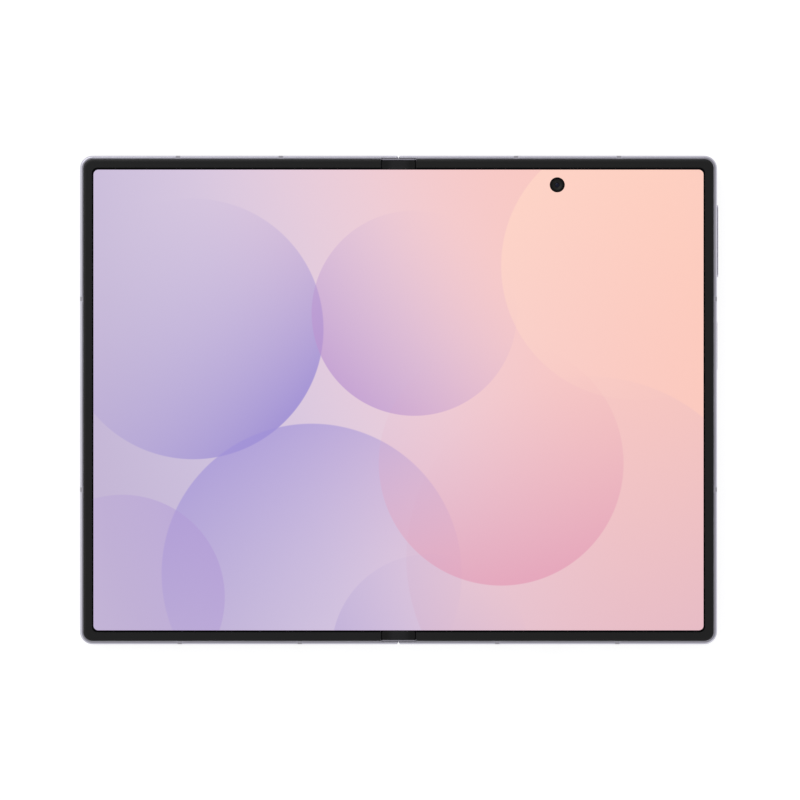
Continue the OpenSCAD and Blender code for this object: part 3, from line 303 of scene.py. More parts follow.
def finish(name, colour, rough, grains=5000, depth=2e-6, play=0.05, mottle=0.05, stretch=(1, 1, 1),
           clouds=60, edge=None, edge_gain=1.15, **plain):
    """A material with grain in its colour, roughness and surface. edge is the width of its lighter edges,
    which stand for edge wear and a painted highlight.
    """
    made = bpy.data.materials.new(name)
    made.use_nodes = True
    tree = made.node_tree
    shader = tree.nodes["Principled BSDF"]
    for key, value in plain.items():
        shader.inputs[key.replace("_", " ")].default_value = value
    grain = tree.nodes.new("ShaderNodeGroup")
    grain.name = "grain"
    grain.node_tree = surface_grain
    grain.inputs["Stretch"].default_value = stretch
    grain.inputs["Grains"].default_value = grains
    grain.inputs["Clouds"].default_value = clouds
    tint = tree.nodes.new("ShaderNodeMix")
    tint.name = "tint"
    tint.data_type = "RGBA"
    tint.inputs["A"].default_value = (*[c * (1 - mottle) for c in colour[:3]], 1)
    tint.inputs["B"].default_value = (*[min(c * (1 + mottle), 1) for c in colour[:3]], 1)
    gloss = tree.nodes.new("ShaderNodeMapRange")
    gloss.inputs["To Min"].default_value = rough - play
    gloss.inputs["To Max"].default_value = rough + play
    bump = tree.nodes.new("ShaderNodeBump")
    bump.name = "bump"
    bump.inputs["Distance"].default_value = depth
    wires(
        tree,
        (grain.outputs["Cloud"], tint.inputs["Factor"]),
        (tint.outputs[2], shader.inputs["Base Color"]),
        (grain.outputs["Grain"], gloss.inputs["Value"]),
        (gloss.outputs[0], shader.inputs["Roughness"]),
        (grain.outputs["Height"], bump.inputs["Height"]),
        (bump.outputs[0], shader.inputs["Normal"]),
    )
    # Edges lighter than the faces by edge_gain: edge wear and a painted highlight
    if edge:
        edge_wear_and_highlight = tree.nodes.new("ShaderNodeGroup")
        edge_wear_and_highlight.node_tree = worn_and_highlit_edges
        edge_wear_and_highlight.inputs["Width"].default_value = edge
        bright = tree.nodes.new("ShaderNodeMix")
        bright.data_type = "RGBA"
        bright.inputs["B"].default_value = (*[min(c * edge_gain, 1) for c in colour[:3]], 1)
        wires(
            tree,
            (edge_wear_and_highlight.outputs["Mask"], bright.inputs["Factor"]),
            (tint.outputs[2], bright.inputs["A"]),
            (bright.outputs[2], shader.inputs["Base Color"]),
            (edge_wear_and_highlight.outputs["Normal"], bump.inputs["Normal"]),
        )
    return made


def dress(made, *names):
    """Gives CAD nodes their material."""
    for name in names:
        for place in nodes[name].material_slots:
            place.material = made


gap_shade_w = 0.0048  # half the width of the painted gap shade over the fold

frame_metal = finish(
    "frame_metal", tone(191, 189, 201), 0.3, grains=9000, depth=1.5e-6, mottle=0.02, edge=0.00012,
    Metallic=1
)
# Painted shade on the frame metal in the gaps beside the end caps of the fold
paint_gap_shade(frame_metal, Half_Width=gap_shade_w, Half_Length=0.0607, Above=0.005)
dress(frame_metal, "main_frame", "cover_frame")

# ---------- antenna breaks ----------
# Plastic cast into slots through the rails, then machined flush with them. It is a shade darker than
# the metal and has no metallic shine.

antenna_plastic = finish(
    "antenna_plastic", tone(160, 157, 168), 0.45, grains=4000, depth=3e-6, mottle=0.04
)
dress(antenna_plastic, "main_antenna_breaks", "cover_antenna_breaks")

# ---------- hinge spine and end caps ----------
# The spine is a drawn and polished aluminium trough that shows as a round back when the phone is
# closed. Dark moulded caps close its ends beside the screen, with shade painted on the metal in the gaps
# next to them.

spine_metal = finish(
    "spine_metal", tone(194, 191, 204), 0.24, grains=2500, depth=2e-6, stretch=(1, 0.03, 1), mottle=0.03,
    edge=0.00005, Metallic=1
)
# Painted shade on the spine metal in the gaps beside the end caps of the fold
paint_gap_shade(spine_metal, Half_Width=gap_shade_w, Half_Length=0.06079, Above=0.0051)
dress(spine_metal, "spine_shell")

# The cap's edges are painted lighter than its faces: a painted highlight.
cap_plastic = finish(
    "cap_plastic", tone(23, 23, 25), 0.42, grains=6000, depth=3e-6, mottle=0.12, edge=0.0001, edge_gain=1.6,
    Specular_IOR_Level=0.3
)
# Painted shade: the sides of a cap are darker than its middle
cap_dark_from, cap_dark_to = 0.0014, 0.003
tree = cap_plastic.node_tree
where = tree.nodes.new("ShaderNodeTexCoord")
axes = tree.nodes.new("ShaderNodeSeparateXYZ")
away = tree.nodes.new("ShaderNodeMath")
away.operation = "ABSOLUTE"
to_side = tree.nodes.new("ShaderNodeMapRange")
to_side.inputs["From Min"].default_value = cap_dark_from
to_side.inputs["From Max"].default_value = cap_dark_to
painted_side_shade = tree.nodes.new("ShaderNodeMix")
painted_side_shade.data_type = "RGBA"
painted_side_shade.inputs["B"].default_value = tone(3, 3, 4)
bare = tree.nodes["Principled BSDF"].inputs["Base Color"].links[0].from_socket
wires(
    tree,
    (where.outputs["Object"], axes.inputs[0]),
    (axes.outputs["X"], away.inputs[0]),
    (away.outputs[0], to_side.inputs["Value"]),
    (to_side.outputs[0], painted_side_shade.inputs["Factor"]),
    (bare, painted_side_shade.inputs["A"]),
    (painted_side_shade.outputs[2], tree.nodes["Principled BSDF"].inputs["Base Color"]),
)
dress(cap_plastic, "spine_caps")

# ---------- hinge mechanism ----------
# Blocks, arc rails, arms, yokes and plates of machined stainless steel, hardened shafts, wound springs
# and brass gears, all in the spine and the edges of the halves.

machined_steel = finish(
    "machined_steel", tone(176, 177, 182), 0.3, grains=1800, depth=3e-6, stretch=(0.08, 1, 1), mottle=0.06,
    edge=0.0001, Metallic=1
)
dress(
    machined_steel, "hinge_bases", "main_rail_arms", "cover_rail_arms", "cam_yokes", "main_wing_plate",
    "cover_wing_plate"
)
hard_steel = finish(
    "hard_steel", tone(150, 150, 156), 0.2, grains=3000, depth=1e-6, stretch=(1, 6, 1), mottle=0.05,
    Metallic=1
)
dress(
    hard_steel, "idler_shafts", "main_timing_shafts", "cover_timing_shafts", "detent_springs",
    "main_arm_screws", "cover_arm_screws"
)
gear_brass = finish(
    "gear_brass", tone(214, 186, 118), 0.3, grains=4000, depth=2e-6, mottle=0.08, edge=0.00006, Metallic=1
)
dress(gear_brass, "main_timing_arms", "cover_timing_arms", "main_idlers", "cover_idlers")

# ---------- boards ----------
# Glass fibre boards under dark green solder mask, with copper tracks that show as fine raised lines.
# They are screwed to the mid-plates of the halves, under the lids.

track_scale = 900
solder_mask = finish("solder_mask", tone(26, 74, 52), 0.38, grains=2500, depth=2e-6, mottle=0.15)
tree = solder_mask.node_tree
where = tree.nodes.new("ShaderNodeTexCoord")
tracks = tree.nodes.new("ShaderNodeTexBrick")
tracks.inputs["Scale"].default_value = track_scale
tracks.inputs["Mortar Size"].default_value = 0.04
tracks.inputs["Color1"].default_value = tone(24, 70, 50)
tracks.inputs["Color2"].default_value = tone(30, 84, 58)
tracks.inputs["Mortar"].default_value = tone(78, 120, 70)
wires(
    tree,
    (where.outputs["Object"], tracks.inputs["Vector"]),
    (tracks.outputs["Color"], tree.nodes["Principled BSDF"].inputs["Base Color"]),
    (tracks.outputs["Fac"], tree.nodes["bump"].inputs["Height"]),
)
dress(solder_mask, "main_board", "bottom_board", "cover_board")

# ---------- lids, card reader, switches, motor and magnets ----------
# Lids and shells are pressed from nickel silver with a fine rolled grain. The magnets are sintered and
# nickel-plated, and glued beside the outer rails.

pressed_metal = finish(
    "pressed_metal", tone(190, 190, 192), 0.34, grains=1500, depth=3e-6, stretch=(1, 0.06, 1), mottle=0.04,
    edge=0.0001, Metallic=1
)
dress(pressed_metal, "board_shields", "card_reader", "key_switches", "haptic_motor")
nickel_plate = finish(
    "nickel_plate", tone(170, 168, 160), 0.22, grains=3000, depth=1e-6, mottle=0.05, edge=0.00015,
    Metallic=1
)
dress(nickel_plate, "main_magnets", "cover_magnets")

# ---------- batteries ----------
# Laminated foil pouches in a dark film, one glued into each half. The film is creased by the cells
# inside.

pouch_film = finish(
    "pouch_film", tone(52, 52, 56), 0.36, grains=700, depth=2.5e-5, mottle=0.12, play=0.1, Coat_Weight=0.2
)
dress(pouch_film, "main_battery", "cover_battery")

# ---------- charging coil ----------
# Enamelled copper wire wound flat in one layer and glued behind the rear glass, so the ring shows fine
# round grooves.

groove_scale = 500
coil_wire = finish("coil_wire", tone(186, 112, 62), 0.3, grains=1200, depth=4e-5, mottle=0.1, Metallic=1)
coil_lo, coil_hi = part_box("charging_coil")
tree = coil_wire.node_tree
where = tree.nodes.new("ShaderNodeTexCoord")
centred = tree.nodes.new("ShaderNodeVectorMath")
centred.operation = "SUBTRACT"
centred.inputs[1].default_value = (coil_lo + coil_hi) / 2
turns = tree.nodes.new("ShaderNodeTexWave")
turns.wave_type = "RINGS"
turns.rings_direction = "Z"
turns.inputs["Scale"].default_value = groove_scale
wires(
    tree,
    (where.outputs["Object"], centred.inputs[0]),
    (centred.outputs[0], turns.inputs["Vector"]),
    (turns.outputs["Fac"], tree.nodes["bump"].inputs["Height"]),
)
dress(coil_wire, "charging_coil")

# ---------- loudspeaker and earpiece ----------
# Closed boxes of moulded black plastic, set in the halves behind the rails. They blow through the holes
# and slots there.

box_plastic = finish("box_plastic", tone(34, 34, 37), 0.5, grains=3000, depth=8e-6, mottle=0.12)
dress(box_plastic, "loudspeaker", "earpiece")

# ---------- rear glass ----------
# Strengthened glass, etched matt on the outside and backed with a pale lavender film that has fine
# pearl flakes. It is bonded into the main frame.

etched_glass = finish(
    "etched_glass", tone(204, 199, 219), 0.42, grains=12000, depth=1e-6, mottle=0.03, play=0.04,
    Coat_Weight=0.35, Coat_Roughness=0.3
)
dress(etched_glass, "rear_glass")

# ---------- outer screen ----------
# The outer screen is off. It is a thin panel, dark grey with a trace of blue, laminated to the back of
# its cover glass.

dark_panel = finish(
    "dark_panel", tone(17, 17, 20), 0.3, grains=9000, depth=4e-7, mottle=0.1, Specular_IOR_Level=0.2
)
dress(dark_panel, "cover_panel")

# ---------- rear cameras ----------
# A raised metal island with two turned and polished rings. Each ring holds a window of clear glass with
# a black print round it, over a black stepped barrel and the front element of its lens.

MM = 0.001


def circle_outline(x, y, radius, count=48):
    """A circle in plan, in millimetres."""
    angles = [2 * math.pi * i / count for i in range(count)]
    return [(x + radius * math.cos(a), y + radius * math.sin(a)) for a in angles]


def piece(name, bm, finishes, body=None, stands_for=(), sharp=35):
    """Turns a mesh drawn in millimetres into a piece of the phone."""
    bmesh.ops.scale(bm, vec=(MM, MM, MM), verts=bm.verts)
    bmesh.ops.recalc_face_normals(bm, faces=bm.faces)
    mesh = bpy.data.meshes.new(name)
    bm.to_mesh(mesh)
    bm.free()
    mesh.shade_smooth()
    mesh.set_sharp_from_angle(angle=math.radians(sharp))
    for made in finishes:
        mesh.materials.append(made)
    made_piece = bpy.data.objects.new(name, mesh)
    scene.collection.objects.link(made_piece)
    if stands_for:
        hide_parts(*stands_for)
    if body:
        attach(made_piece, body)
    return made_piece


island_metal = finish(
    "island_metal", tone(196, 193, 206), 0.26, grains=9000, depth=1e-6, mottle=0.02, edge=0.0003, Metallic=1
)
dress(island_metal, "camera_island")

ring_metal = finish(
    "ring_metal", tone(170, 167, 180), 0.16, grains=5000, depth=2e-6, mottle=0.02, edge=0.0002, Metallic=1
)
dress(ring_metal, "camera_rings")

lens_black = finish(
    "lens_black", tone(9, 9, 10), 0.45, grains=4000, depth=3e-6, mottle=0.15, Specular_IOR_Level=0.25
)


def clear_glass(name, tint=(1, 1, 1, 1)):
    """Polished clear glass with a trace of polish marks."""
    made = finish(name, tint, 0.03, grains=6000, depth=2e-8, play=0.02, mottle=0.0, IOR=1.52)
    made.node_tree.nodes["Principled BSDF"].inputs["Transmission Weight"].default_value = 1
    return made


window_glass = clear_glass("window_glass")
window_glass.node_tree.nodes["Principled BSDF"].inputs["Specular IOR Level"].default_value = 0.2
window_print = finish(
    "window_print", tone(9, 9, 10), 0.25, grains=5000, depth=5e-7, mottle=0.1, Specular_IOR_Level=0.2
)


def turned(bm, x, y, profile, count=64, kinds=None):
    """A shape turned on a lathe about (x, y), from (radius, height) points. Radius 0 closes it."""
    rings = []
    for radius, z in profile:
        if radius == 0:
            rings.append([bm.verts.new((x, y, z))])
        else:
            rings.append([bm.verts.new((px, py, z)) for px, py in circle_outline(x, y, radius, count)])
    for row, (a, b) in enumerate(zip(rings, rings[1:])):
        for i in range(count):
            j = (i + 1) % count
            corners = [a[i % len(a)], a[j % len(a)], b[j % len(b)], b[i % len(b)]]
            face = bm.faces.new(list(dict.fromkeys(corners)))
            face.material_index = kinds[row] if kinds else 0


def rounded_block(bm, lo, hi, radius, eased, steps=4):
    """A block between two corners, with rounded upright edges and its top and bottom edges eased."""
    x, y = (lo[0] + hi[0]) / 2, (lo[1] + hi[1]) / 2
    a, b = (hi[0] - lo[0]) / 2 - radius, (hi[1] - lo[1]) / 2 - radius
    loops = []
    for inset, z in ((eased, lo[2]), (0, lo[2] + eased), (0, hi[2] - eased), (eased, hi[2])):
        r = radius - inset
        loop = []
        for cx, cy, start in ((a, -b, -90), (a, b, 0), (-a, b, 90), (-a, -b, 180)):
            for i in range(steps + 1):
                t = math.radians(start + 90 * i / steps)
                loop.append(bm.verts.new((x + cx + r * math.cos(t), y + cy + r * math.sin(t), z)))
        loops.append(loop)
    for low, high in zip(loops, loops[1:]):
        for i in range(len(low)):
            j = (i + 1) % len(low)
            bm.faces.new((low[i], low[j], high[j], high[i]))
    bm.faces.new(loops[0][::-1])
    bm.faces.new(loops[-1])


def domed(radius, tip, foot, steps=6):
    """The profile of a lens's front, from its tip out to its edge."""
    angles = [math.radians(90 * i / steps) for i in range(1, steps + 1)]
    return [(0, tip)] + [(radius * math.sin(a), foot + (tip - foot) * math.cos(a)) for a in angles]


rear_places = ((66.0, 46.5), (66.0, 30.5))
rear_lens_sizes = (2.5, 1.9)
window_r, window_out, window_in, window_bevel = 5.34, 0.1, 0.5, 0.08
print_r = 4.0  # the clear middle of the print
module_half, module_low, module_high = 5.3, 2.6, 5.8
barrel_r, barrel_low = 4.9, 2.7
lens_tip, lens_foot = 1.65, 2.1
windows_bm = bmesh.new()
bodies_bm = bmesh.new()
elements_bm = bmesh.new()
for (x, y), lens_r in zip(rear_places, rear_lens_sizes):
    turned(
        windows_bm, x, y,
        [(0, window_in), (print_r, window_in), (window_r, window_in), (window_r, window_out + window_bevel),
         (window_r - window_bevel, window_out), (0, window_out)],
        kinds=[0, 1, 1, 0, 0],
    )
    rounded_block(
        bodies_bm, (x - module_half, y - module_half, module_low),
        (x + module_half, y + module_half, module_high), 0.6, 0.15,
    )
    turned(
        bodies_bm, x, y,
        [(0, barrel_low), (barrel_r, barrel_low), (barrel_r, 0.78), (4.82, 0.7), (3.95, 0.7), (3.85, 0.95),
         (3.45, 1.0), (3.4, 1.3), (lens_r + 0.55, 1.4), (lens_r + 0.5, 1.8), (lens_r + 0.15, 1.88),
         (lens_r + 0.1, 2.3), (0, 2.3)],
    )
    back = [(lens_r, 2.25), (lens_r / 2, 2.05), (0, 2.0)]
    turned(elements_bm, x, y, domed(lens_r, lens_tip, lens_foot, 9) + back)
piece(
    "rear_camera_windows", windows_bm, [window_glass, window_print], "main_half",
    ["camera_windows"]
)
piece("rear_camera_bodies", bodies_bm, [lens_black], "main_half", ["camera_modules"])

lens_glass = finish(
    "lens_glass", tone(20, 16, 34), 0.05, grains=6000, depth=2e-8, play=0.02, mottle=0.3,
    Specular_IOR_Level=0.4, Thin_Film_Thickness=330.0, Thin_Film_IOR=1.38
)
piece("rear_camera_lenses", elements_bm, [lens_glass], "main_half")

# ---------- flash ----------
# A clear moulded window, ribbed inside as a Fresnel lens and pressed into the rear glass, over a white
# reflector with two amber emitters.

flash_x, flash_y, flash_r = 54.7, 38.5, 1.88
flash_out, flash_in = 2.03, 2.5
rib_first, rib_pitch, rib_w = 0.1, 0.28, 0.2
flash_glass = clear_glass("flash_glass", tone(250, 248, 238))
flash_bm = bmesh.new()
ribs = [(flash_r, flash_out), (flash_r, flash_in)]
for i in range(6):
    r = flash_r - rib_first - i * rib_pitch
    ribs += [(r, 2.42), (r - rib_w, 2.56)]
turned(flash_bm, flash_x, flash_y, [(0, flash_out)] + ribs + [(0, flash_in)])
piece("flash_lens_ribbed", flash_bm, [flash_glass], "main_half", ["flash_window"])

reflector_white = finish(
    "reflector_white", tone(232, 230, 222), 0.5, grains=3000, depth=3e-6, mottle=0.04
)
reflector_bm = bmesh.new()
turned(
    reflector_bm, flash_x, flash_y,
    [(0, 2.95), (1.1, 2.93), (1.7, 2.66), (1.82, 2.66), (1.82, 3.05), (0, 3.05)],
)
piece("flash_reflector", reflector_bm, [reflector_white], "main_half")

emitter_amber = finish("emitter_amber", tone(236, 196, 72), 0.5, grains=9000, depth=4e-6, mottle=0.12)
chip_x, chip_y, chip_off, chip_low, chip_high = 0.5, 0.4, 0.55, 2.78, 2.98
chips_bm = bmesh.new()
for side in (-1, 1):
    y = flash_y + side * chip_off
    rounded_block(
        chips_bm, (flash_x - chip_x, y - chip_y, chip_low), (flash_x + chip_x, y + chip_y, chip_high),
        0.1, 0.03,
    )
piece("flash_emitters", chips_bm, [emitter_amber], "main_half")

# ---------- inner and outer selfie cameras ----------
# Small black camera bodies. The barrel ends in a stepped cone round a domed glass element, just under
# the hole in the screen on one half and behind the cover glass on the other.

inner_x, inner_y, small_r = 40.21, 54.5, 1.68
small_half, small_high = 2.5, 5.8
inner_lens_r, outer_lens_r = 0.54, 0.68
inner_bm = bmesh.new()
rounded_block(
    inner_bm, (inner_x - small_half, inner_y - small_half, 2.6),
    (inner_x + small_half, inner_y + small_half, small_high), 0.4, 0.1,
)
turned(
    inner_bm, inner_x, inner_y,
    [(0, 5.7), (small_r, 5.7), (small_r, 6.3), (1.38, 6.3), (1.38, 6.5), (1.34, 6.54), (0.9, 6.46),
     (0.6, 6.2), (0.55, 6.0), (0, 6.0)],
    48,
)
piece("inner_camera_body", inner_bm, [lens_black], "main_half", ["inner_camera"])
inner_lens_bm = bmesh.new()
turned(
    inner_lens_bm, inner_x, inner_y, domed(inner_lens_r, 6.26, 6.1) + [(inner_lens_r, 6.02), (0, 6.02)], 48
)
piece("inner_camera_lens", inner_lens_bm, [lens_glass], "main_half")

outer_bm = bmesh.new()
rounded_block(
    outer_bm, (-inner_x - small_half, inner_y - small_half, 3.1),
    (-inner_x + small_half, inner_y + small_half, small_high), 0.4, 0.1,
)
turned(
    outer_bm, -inner_x, inner_y,
    [(0, 3.3), (small_r, 3.3), (small_r, 2.6), (small_r - 0.05, 2.56), (1.45, 2.56), (1.4, 2.68),
     (1.05, 2.76), (1.0, 2.9), (0.72, 2.96), (0.7, 3.08), (0, 3.08)],
    48,
)
piece("outer_camera_body", outer_bm, [lens_black], "cover_half", ["cover_camera"])
outer_lens_bm = bmesh.new()
turned(
    outer_lens_bm, -inner_x, inner_y, domed(outer_lens_r, 2.7, 2.94) + [(outer_lens_r, 3.04), (0, 3.04)], 48
)
piece("outer_camera_lens", outer_lens_bm, [lens_glass], "cover_half")

# ---------- charging socket ----------
# A drawn steel shell, pressed through the lower rail, with a black moulded tongue. The tongue carries
# gold-plated contacts on both faces.

dress(pressed_metal, "port_shell")
dress(box_plastic, "port_tongue")
contact_gold = finish(
    "contact_gold", tone(226, 190, 110), 0.2, grains=3000, depth=1e-6, mottle=0.05, Metallic=1
)
port_x, port_z, mouth_y = 40.35, 4.23, -60.7
contact_count, contact_pitch, contact_half = 12, 0.5, 0.13
long_contacts, long_l, short_l = (0, 3, 8, 11), 4.6, 4.0
contact_seat, contact_face, contact_inset = 0.33, 0.37, 0.25
contacts_bm = bmesh.new()
for i in range(contact_count):
    x = port_x + (i - (contact_count - 1) / 2) * contact_pitch
    y = mouth_y + contact_inset
    length = long_l if i in long_contacts else short_l
    for side in (-1, 1):
        low, high = sorted((port_z + side * contact_seat, port_z + side * contact_face))
        rounded_block(
            contacts_bm, (x - contact_half, y, low), (x + contact_half, y + length, high), 0.08, 0.01
        )
piece("port_contacts", contacts_bm, [contact_gold], "main_half")

# ---------- keys and card tray ----------
# Machined from the same aluminium as the frame. Their outer faces are blasted a little finer, and the
# side key's face is the fingerprint reader.

key_metal = finish(
    "key_metal", tone(184, 181, 195), 0.26, grains=7000, depth=1.5e-6, mottle=0.03, edge=0.0002, Metallic=1
)
dress(key_metal, "volume_key", "side_key", "card_tray")

# ---------- flexible circuit ----------
# Copper tracks between two amber films. It crosses the fold under the screen in two runs that meet on
# the spine. The real circuit bends in a loop as the halves close; here both runs are straight and tied to
# neither half.

film_amber = finish(
    "film_amber", tone(196, 132, 54), 0.32, grains=2000, depth=3e-6, mottle=0.1, stretch=(0.05, 1, 1),
    Coat_Weight=0.4
)
flex_y0, flex_y1, flex_low, flex_high, flex_end = 49.0, 57.0, 5.4, 5.48, 13.2
flex_loop, flex_steps = 3.3, 22  # the part cut into fine rows from the fold, and how many rows
for half, side in (("main_half", 1), ("cover_half", -1)):
    flex_bm = bmesh.new()
    stops = [side * flex_loop * i / flex_steps for i in range(flex_steps + 1)] + [side * flex_end]
    section = ((flex_y0, flex_low), (flex_y1, flex_low), (flex_y1, flex_high), (flex_y0, flex_high))
    rows = [[flex_bm.verts.new((x, y, z)) for y, z in section] for x in stops]
    for a, b in zip(rows, rows[1:]):
        for i in range(4):
            flex_bm.faces.new((a[i], a[(i + 1) % 4], b[(i + 1) % 4], b[i]))
    flex_bm.faces.new(rows[0])
    flex_bm.faces.new(rows[-1])
    flex = piece("flex_" + half, flex_bm, [film_amber], None, ["fold_flex"])
    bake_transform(flex)

# ---------- folding screen ----------
# Thin glass, the panel and its steel backing in one sheet, in two runs that meet over the middle of the
# spine. The lit area ends at a black border, and a hole in the main side shows the camera.

lit_x, lit_y, lit_r = 77.25, 58.33, 1.2
screen_low, screen_high = 5.85, 6.65
screen_x, screen_y, screen_r = 78.6, 59.8, 0.8
strip_x, strip_y = 4.6, 58.48  # the narrower strip over the fold
bend_x, bend_steps = 1.3, 20  # the width beside the fold that is cut into fine rows, and how many rows
crease = 0.03
punch_r, hole_border_r = 1.8, 1.91
picture_w = 200  # the width that the picture's place coordinates span


def rounded_outline(x0, x1, half_l, radius, corners=8):
    """Half of the phone in plan, in millimetres: square at x0 and rounded at its two outer corners."""
    points = [(x0, -half_l)]
    for start, y in ((-90, -half_l + radius), (0, half_l - radius)):
        for i in range(corners + 1):
            a = math.radians(start + 90 * i / corners)
            points.append((x1 - radius + radius * math.cos(a), y + radius * math.sin(a)))
    points.append((x0, half_l))
    return points


def within(outline, x, y):
    """Whether a point lies in an outline."""
    found = False
    for (xa, ya), (xb, yb) in zip(outline, outline[1:] + outline[:1]):
        if (ya > y) != (yb > y) and x < (xb - xa) * (y - ya) / (yb - ya) + xa:
            found = not found
    return found


def plate(outlines, lines, kind, low, high):
    """A flat sheet between two heights, cut along outlines and lines.

    kind(x, y) gives the material of the face there, or None outside the sheet.
    """
    spots, edges = [], []
    for outline in outlines:
        first = len(spots)
        spots += outline
        edges += [(first + i, first + (i + 1) % len(outline)) for i in range(len(outline))]
    for start, end in lines:
        edges.append((len(spots), len(spots) + 1))
        spots += [start, end]
    cut = delaunay_2d_cdt([Vector(p) for p in spots], edges, [], 0, 1e-5)
    points, facets = cut[0], cut[2]
    bm = bmesh.new()
    verts = [bm.verts.new((p.x, p.y, high)) for p in points]
    for corners in facets:
        x = sum(points[i].x for i in corners) / len(corners)
        y = sum(points[i].y for i in corners) / len(corners)
        index = kind(x, y)
        if index is not None:
            bm.faces.new([verts[i] for i in corners]).material_index = index
    bmesh.ops.delete(bm, geom=[v for v in bm.verts if not v.link_faces], context="VERTS")
    grown = bmesh.ops.extrude_face_region(bm, geom=bm.faces[:], use_keep_orig=True)
    for v in grown["geom"]:
        if isinstance(v, bmesh.types.BMVert):
            v.co.z = low
    return bm


# Where a soft disc lies: full on its bright side, fading across it, with a crisp outline
soft_disc = bpy.data.node_groups.new("soft_disc", "ShaderNodeTree")
take, give = group_sockets(
    soft_disc,
    [("Place", "Vector", (0, 0, 0)), ("Centre", "Vector", (0, 0, 0)), ("Radius", "Float", 30.0),
     ("Bright Side", "Vector", (1, 0, 0)), ("Fade", "Float", 1.5)],
    [("Mask", "Float")],
)
offset = soft_disc.nodes.new("ShaderNodeVectorMath")
offset.operation = "SUBTRACT"
far = soft_disc.nodes.new("ShaderNodeVectorMath")
far.operation = "LENGTH"
share = soft_disc.nodes.new("ShaderNodeMath")
share.operation = "DIVIDE"
inside = soft_disc.nodes.new("ShaderNodeMapRange")
inside.inputs["From Min"].default_value = 1.004
inside.inputs["From Max"].default_value = 0.996
side_way = soft_disc.nodes.new("ShaderNodeVectorMath")
side_way.operation = "DOT_PRODUCT"
side_share = soft_disc.nodes.new("ShaderNodeMath")
side_share.operation = "DIVIDE"
side_ramp = soft_disc.nodes.new("ShaderNodeMapRange")
side_ramp.inputs["From Min"].default_value = -1.0
side_ramp.inputs["From Max"].default_value = 1.0
side_fade = soft_disc.nodes.new("ShaderNodeMath")
side_fade.operation = "POWER"
masked = soft_disc.nodes.new("ShaderNodeMath")
masked.operation = "MULTIPLY"
wires(
    soft_disc,
    (take["Place"], offset.inputs[0]),
    (take["Centre"], offset.inputs[1]),
    (offset.outputs[0], far.inputs[0]),
    (far.outputs["Value"], share.inputs[0]),
    (take["Radius"], share.inputs[1]),
    (share.outputs[0], inside.inputs["Value"]),
    (offset.outputs[0], side_way.inputs[0]),
    (take["Bright Side"], side_way.inputs[1]),
    (side_way.outputs["Value"], side_share.inputs[0]),
    (take["Radius"], side_share.inputs[1]),
    (side_share.outputs[0], side_ramp.inputs["Value"]),
    (side_ramp.outputs[0], side_fade.inputs[0]),
    (take["Fade"], side_fade.inputs[1]),
    (inside.outputs[0], masked.inputs[0]),
    (side_fade.outputs[0], masked.inputs[1]),
    (masked.outputs[0], give["Mask"]),
)

sweep_half, sweep_slant = 85.0, 0.35  # the ground's colours run across the screen, and slant upwards
lit_screen = bpy.data.materials.new("lit_screen")
lit_screen.use_nodes = True
tree = lit_screen.node_tree
shader = tree.nodes["Principled BSDF"]
shader.inputs["Base Color"].default_value = (0.01, 0.01, 0.012, 1)
shader.inputs["Roughness"].default_value = 0.12
shader.inputs["Specular IOR Level"].default_value = 0.15
shader.inputs["Emission Strength"].default_value = 1.0
placed = tree.nodes.new("ShaderNodeUVMap")
placed.uv_map = "place"
scaled = tree.nodes.new("ShaderNodeVectorMath")
scaled.operation = "SCALE"
scaled.inputs["Scale"].default_value = picture_w
axes = tree.nodes.new("ShaderNodeSeparateXYZ")
slant = tree.nodes.new("ShaderNodeMath")
slant.operation = "MULTIPLY_ADD"
slant.inputs[1].default_value = sweep_slant
sweep = tree.nodes.new("ShaderNodeMapRange")
sweep.inputs["From Min"].default_value = -sweep_half
sweep.inputs["From Max"].default_value = sweep_half
ground = tree.nodes.new("ShaderNodeValToRGB")
ground.color_ramp.interpolation = "B_SPLINE"
stops = (
    (0.0, (191, 176, 209)), (0.3, (211, 199, 226)), (0.55, (238, 205, 214)), (0.75, (246, 198, 195)),
    (1.0, (252, 201, 186))
)
ramp = ground.color_ramp.elements
for position, colour in stops[2:]:
    ramp.new(position)
for mark, (position, colour) in zip(ramp, stops):
    mark.position = position
    mark.color = tone(*colour)
wires(
    tree,
    (placed.outputs[0], scaled.inputs[0]),
    (scaled.outputs[0], axes.inputs[0]),
    (axes.outputs["Y"], slant.inputs[0]),
    (axes.outputs["X"], slant.inputs[2]),
    (slant.outputs[0], sweep.inputs["Value"]),
    (sweep.outputs[0], ground.inputs["Fac"]),
)
colour_so_far = ground.outputs["Color"]
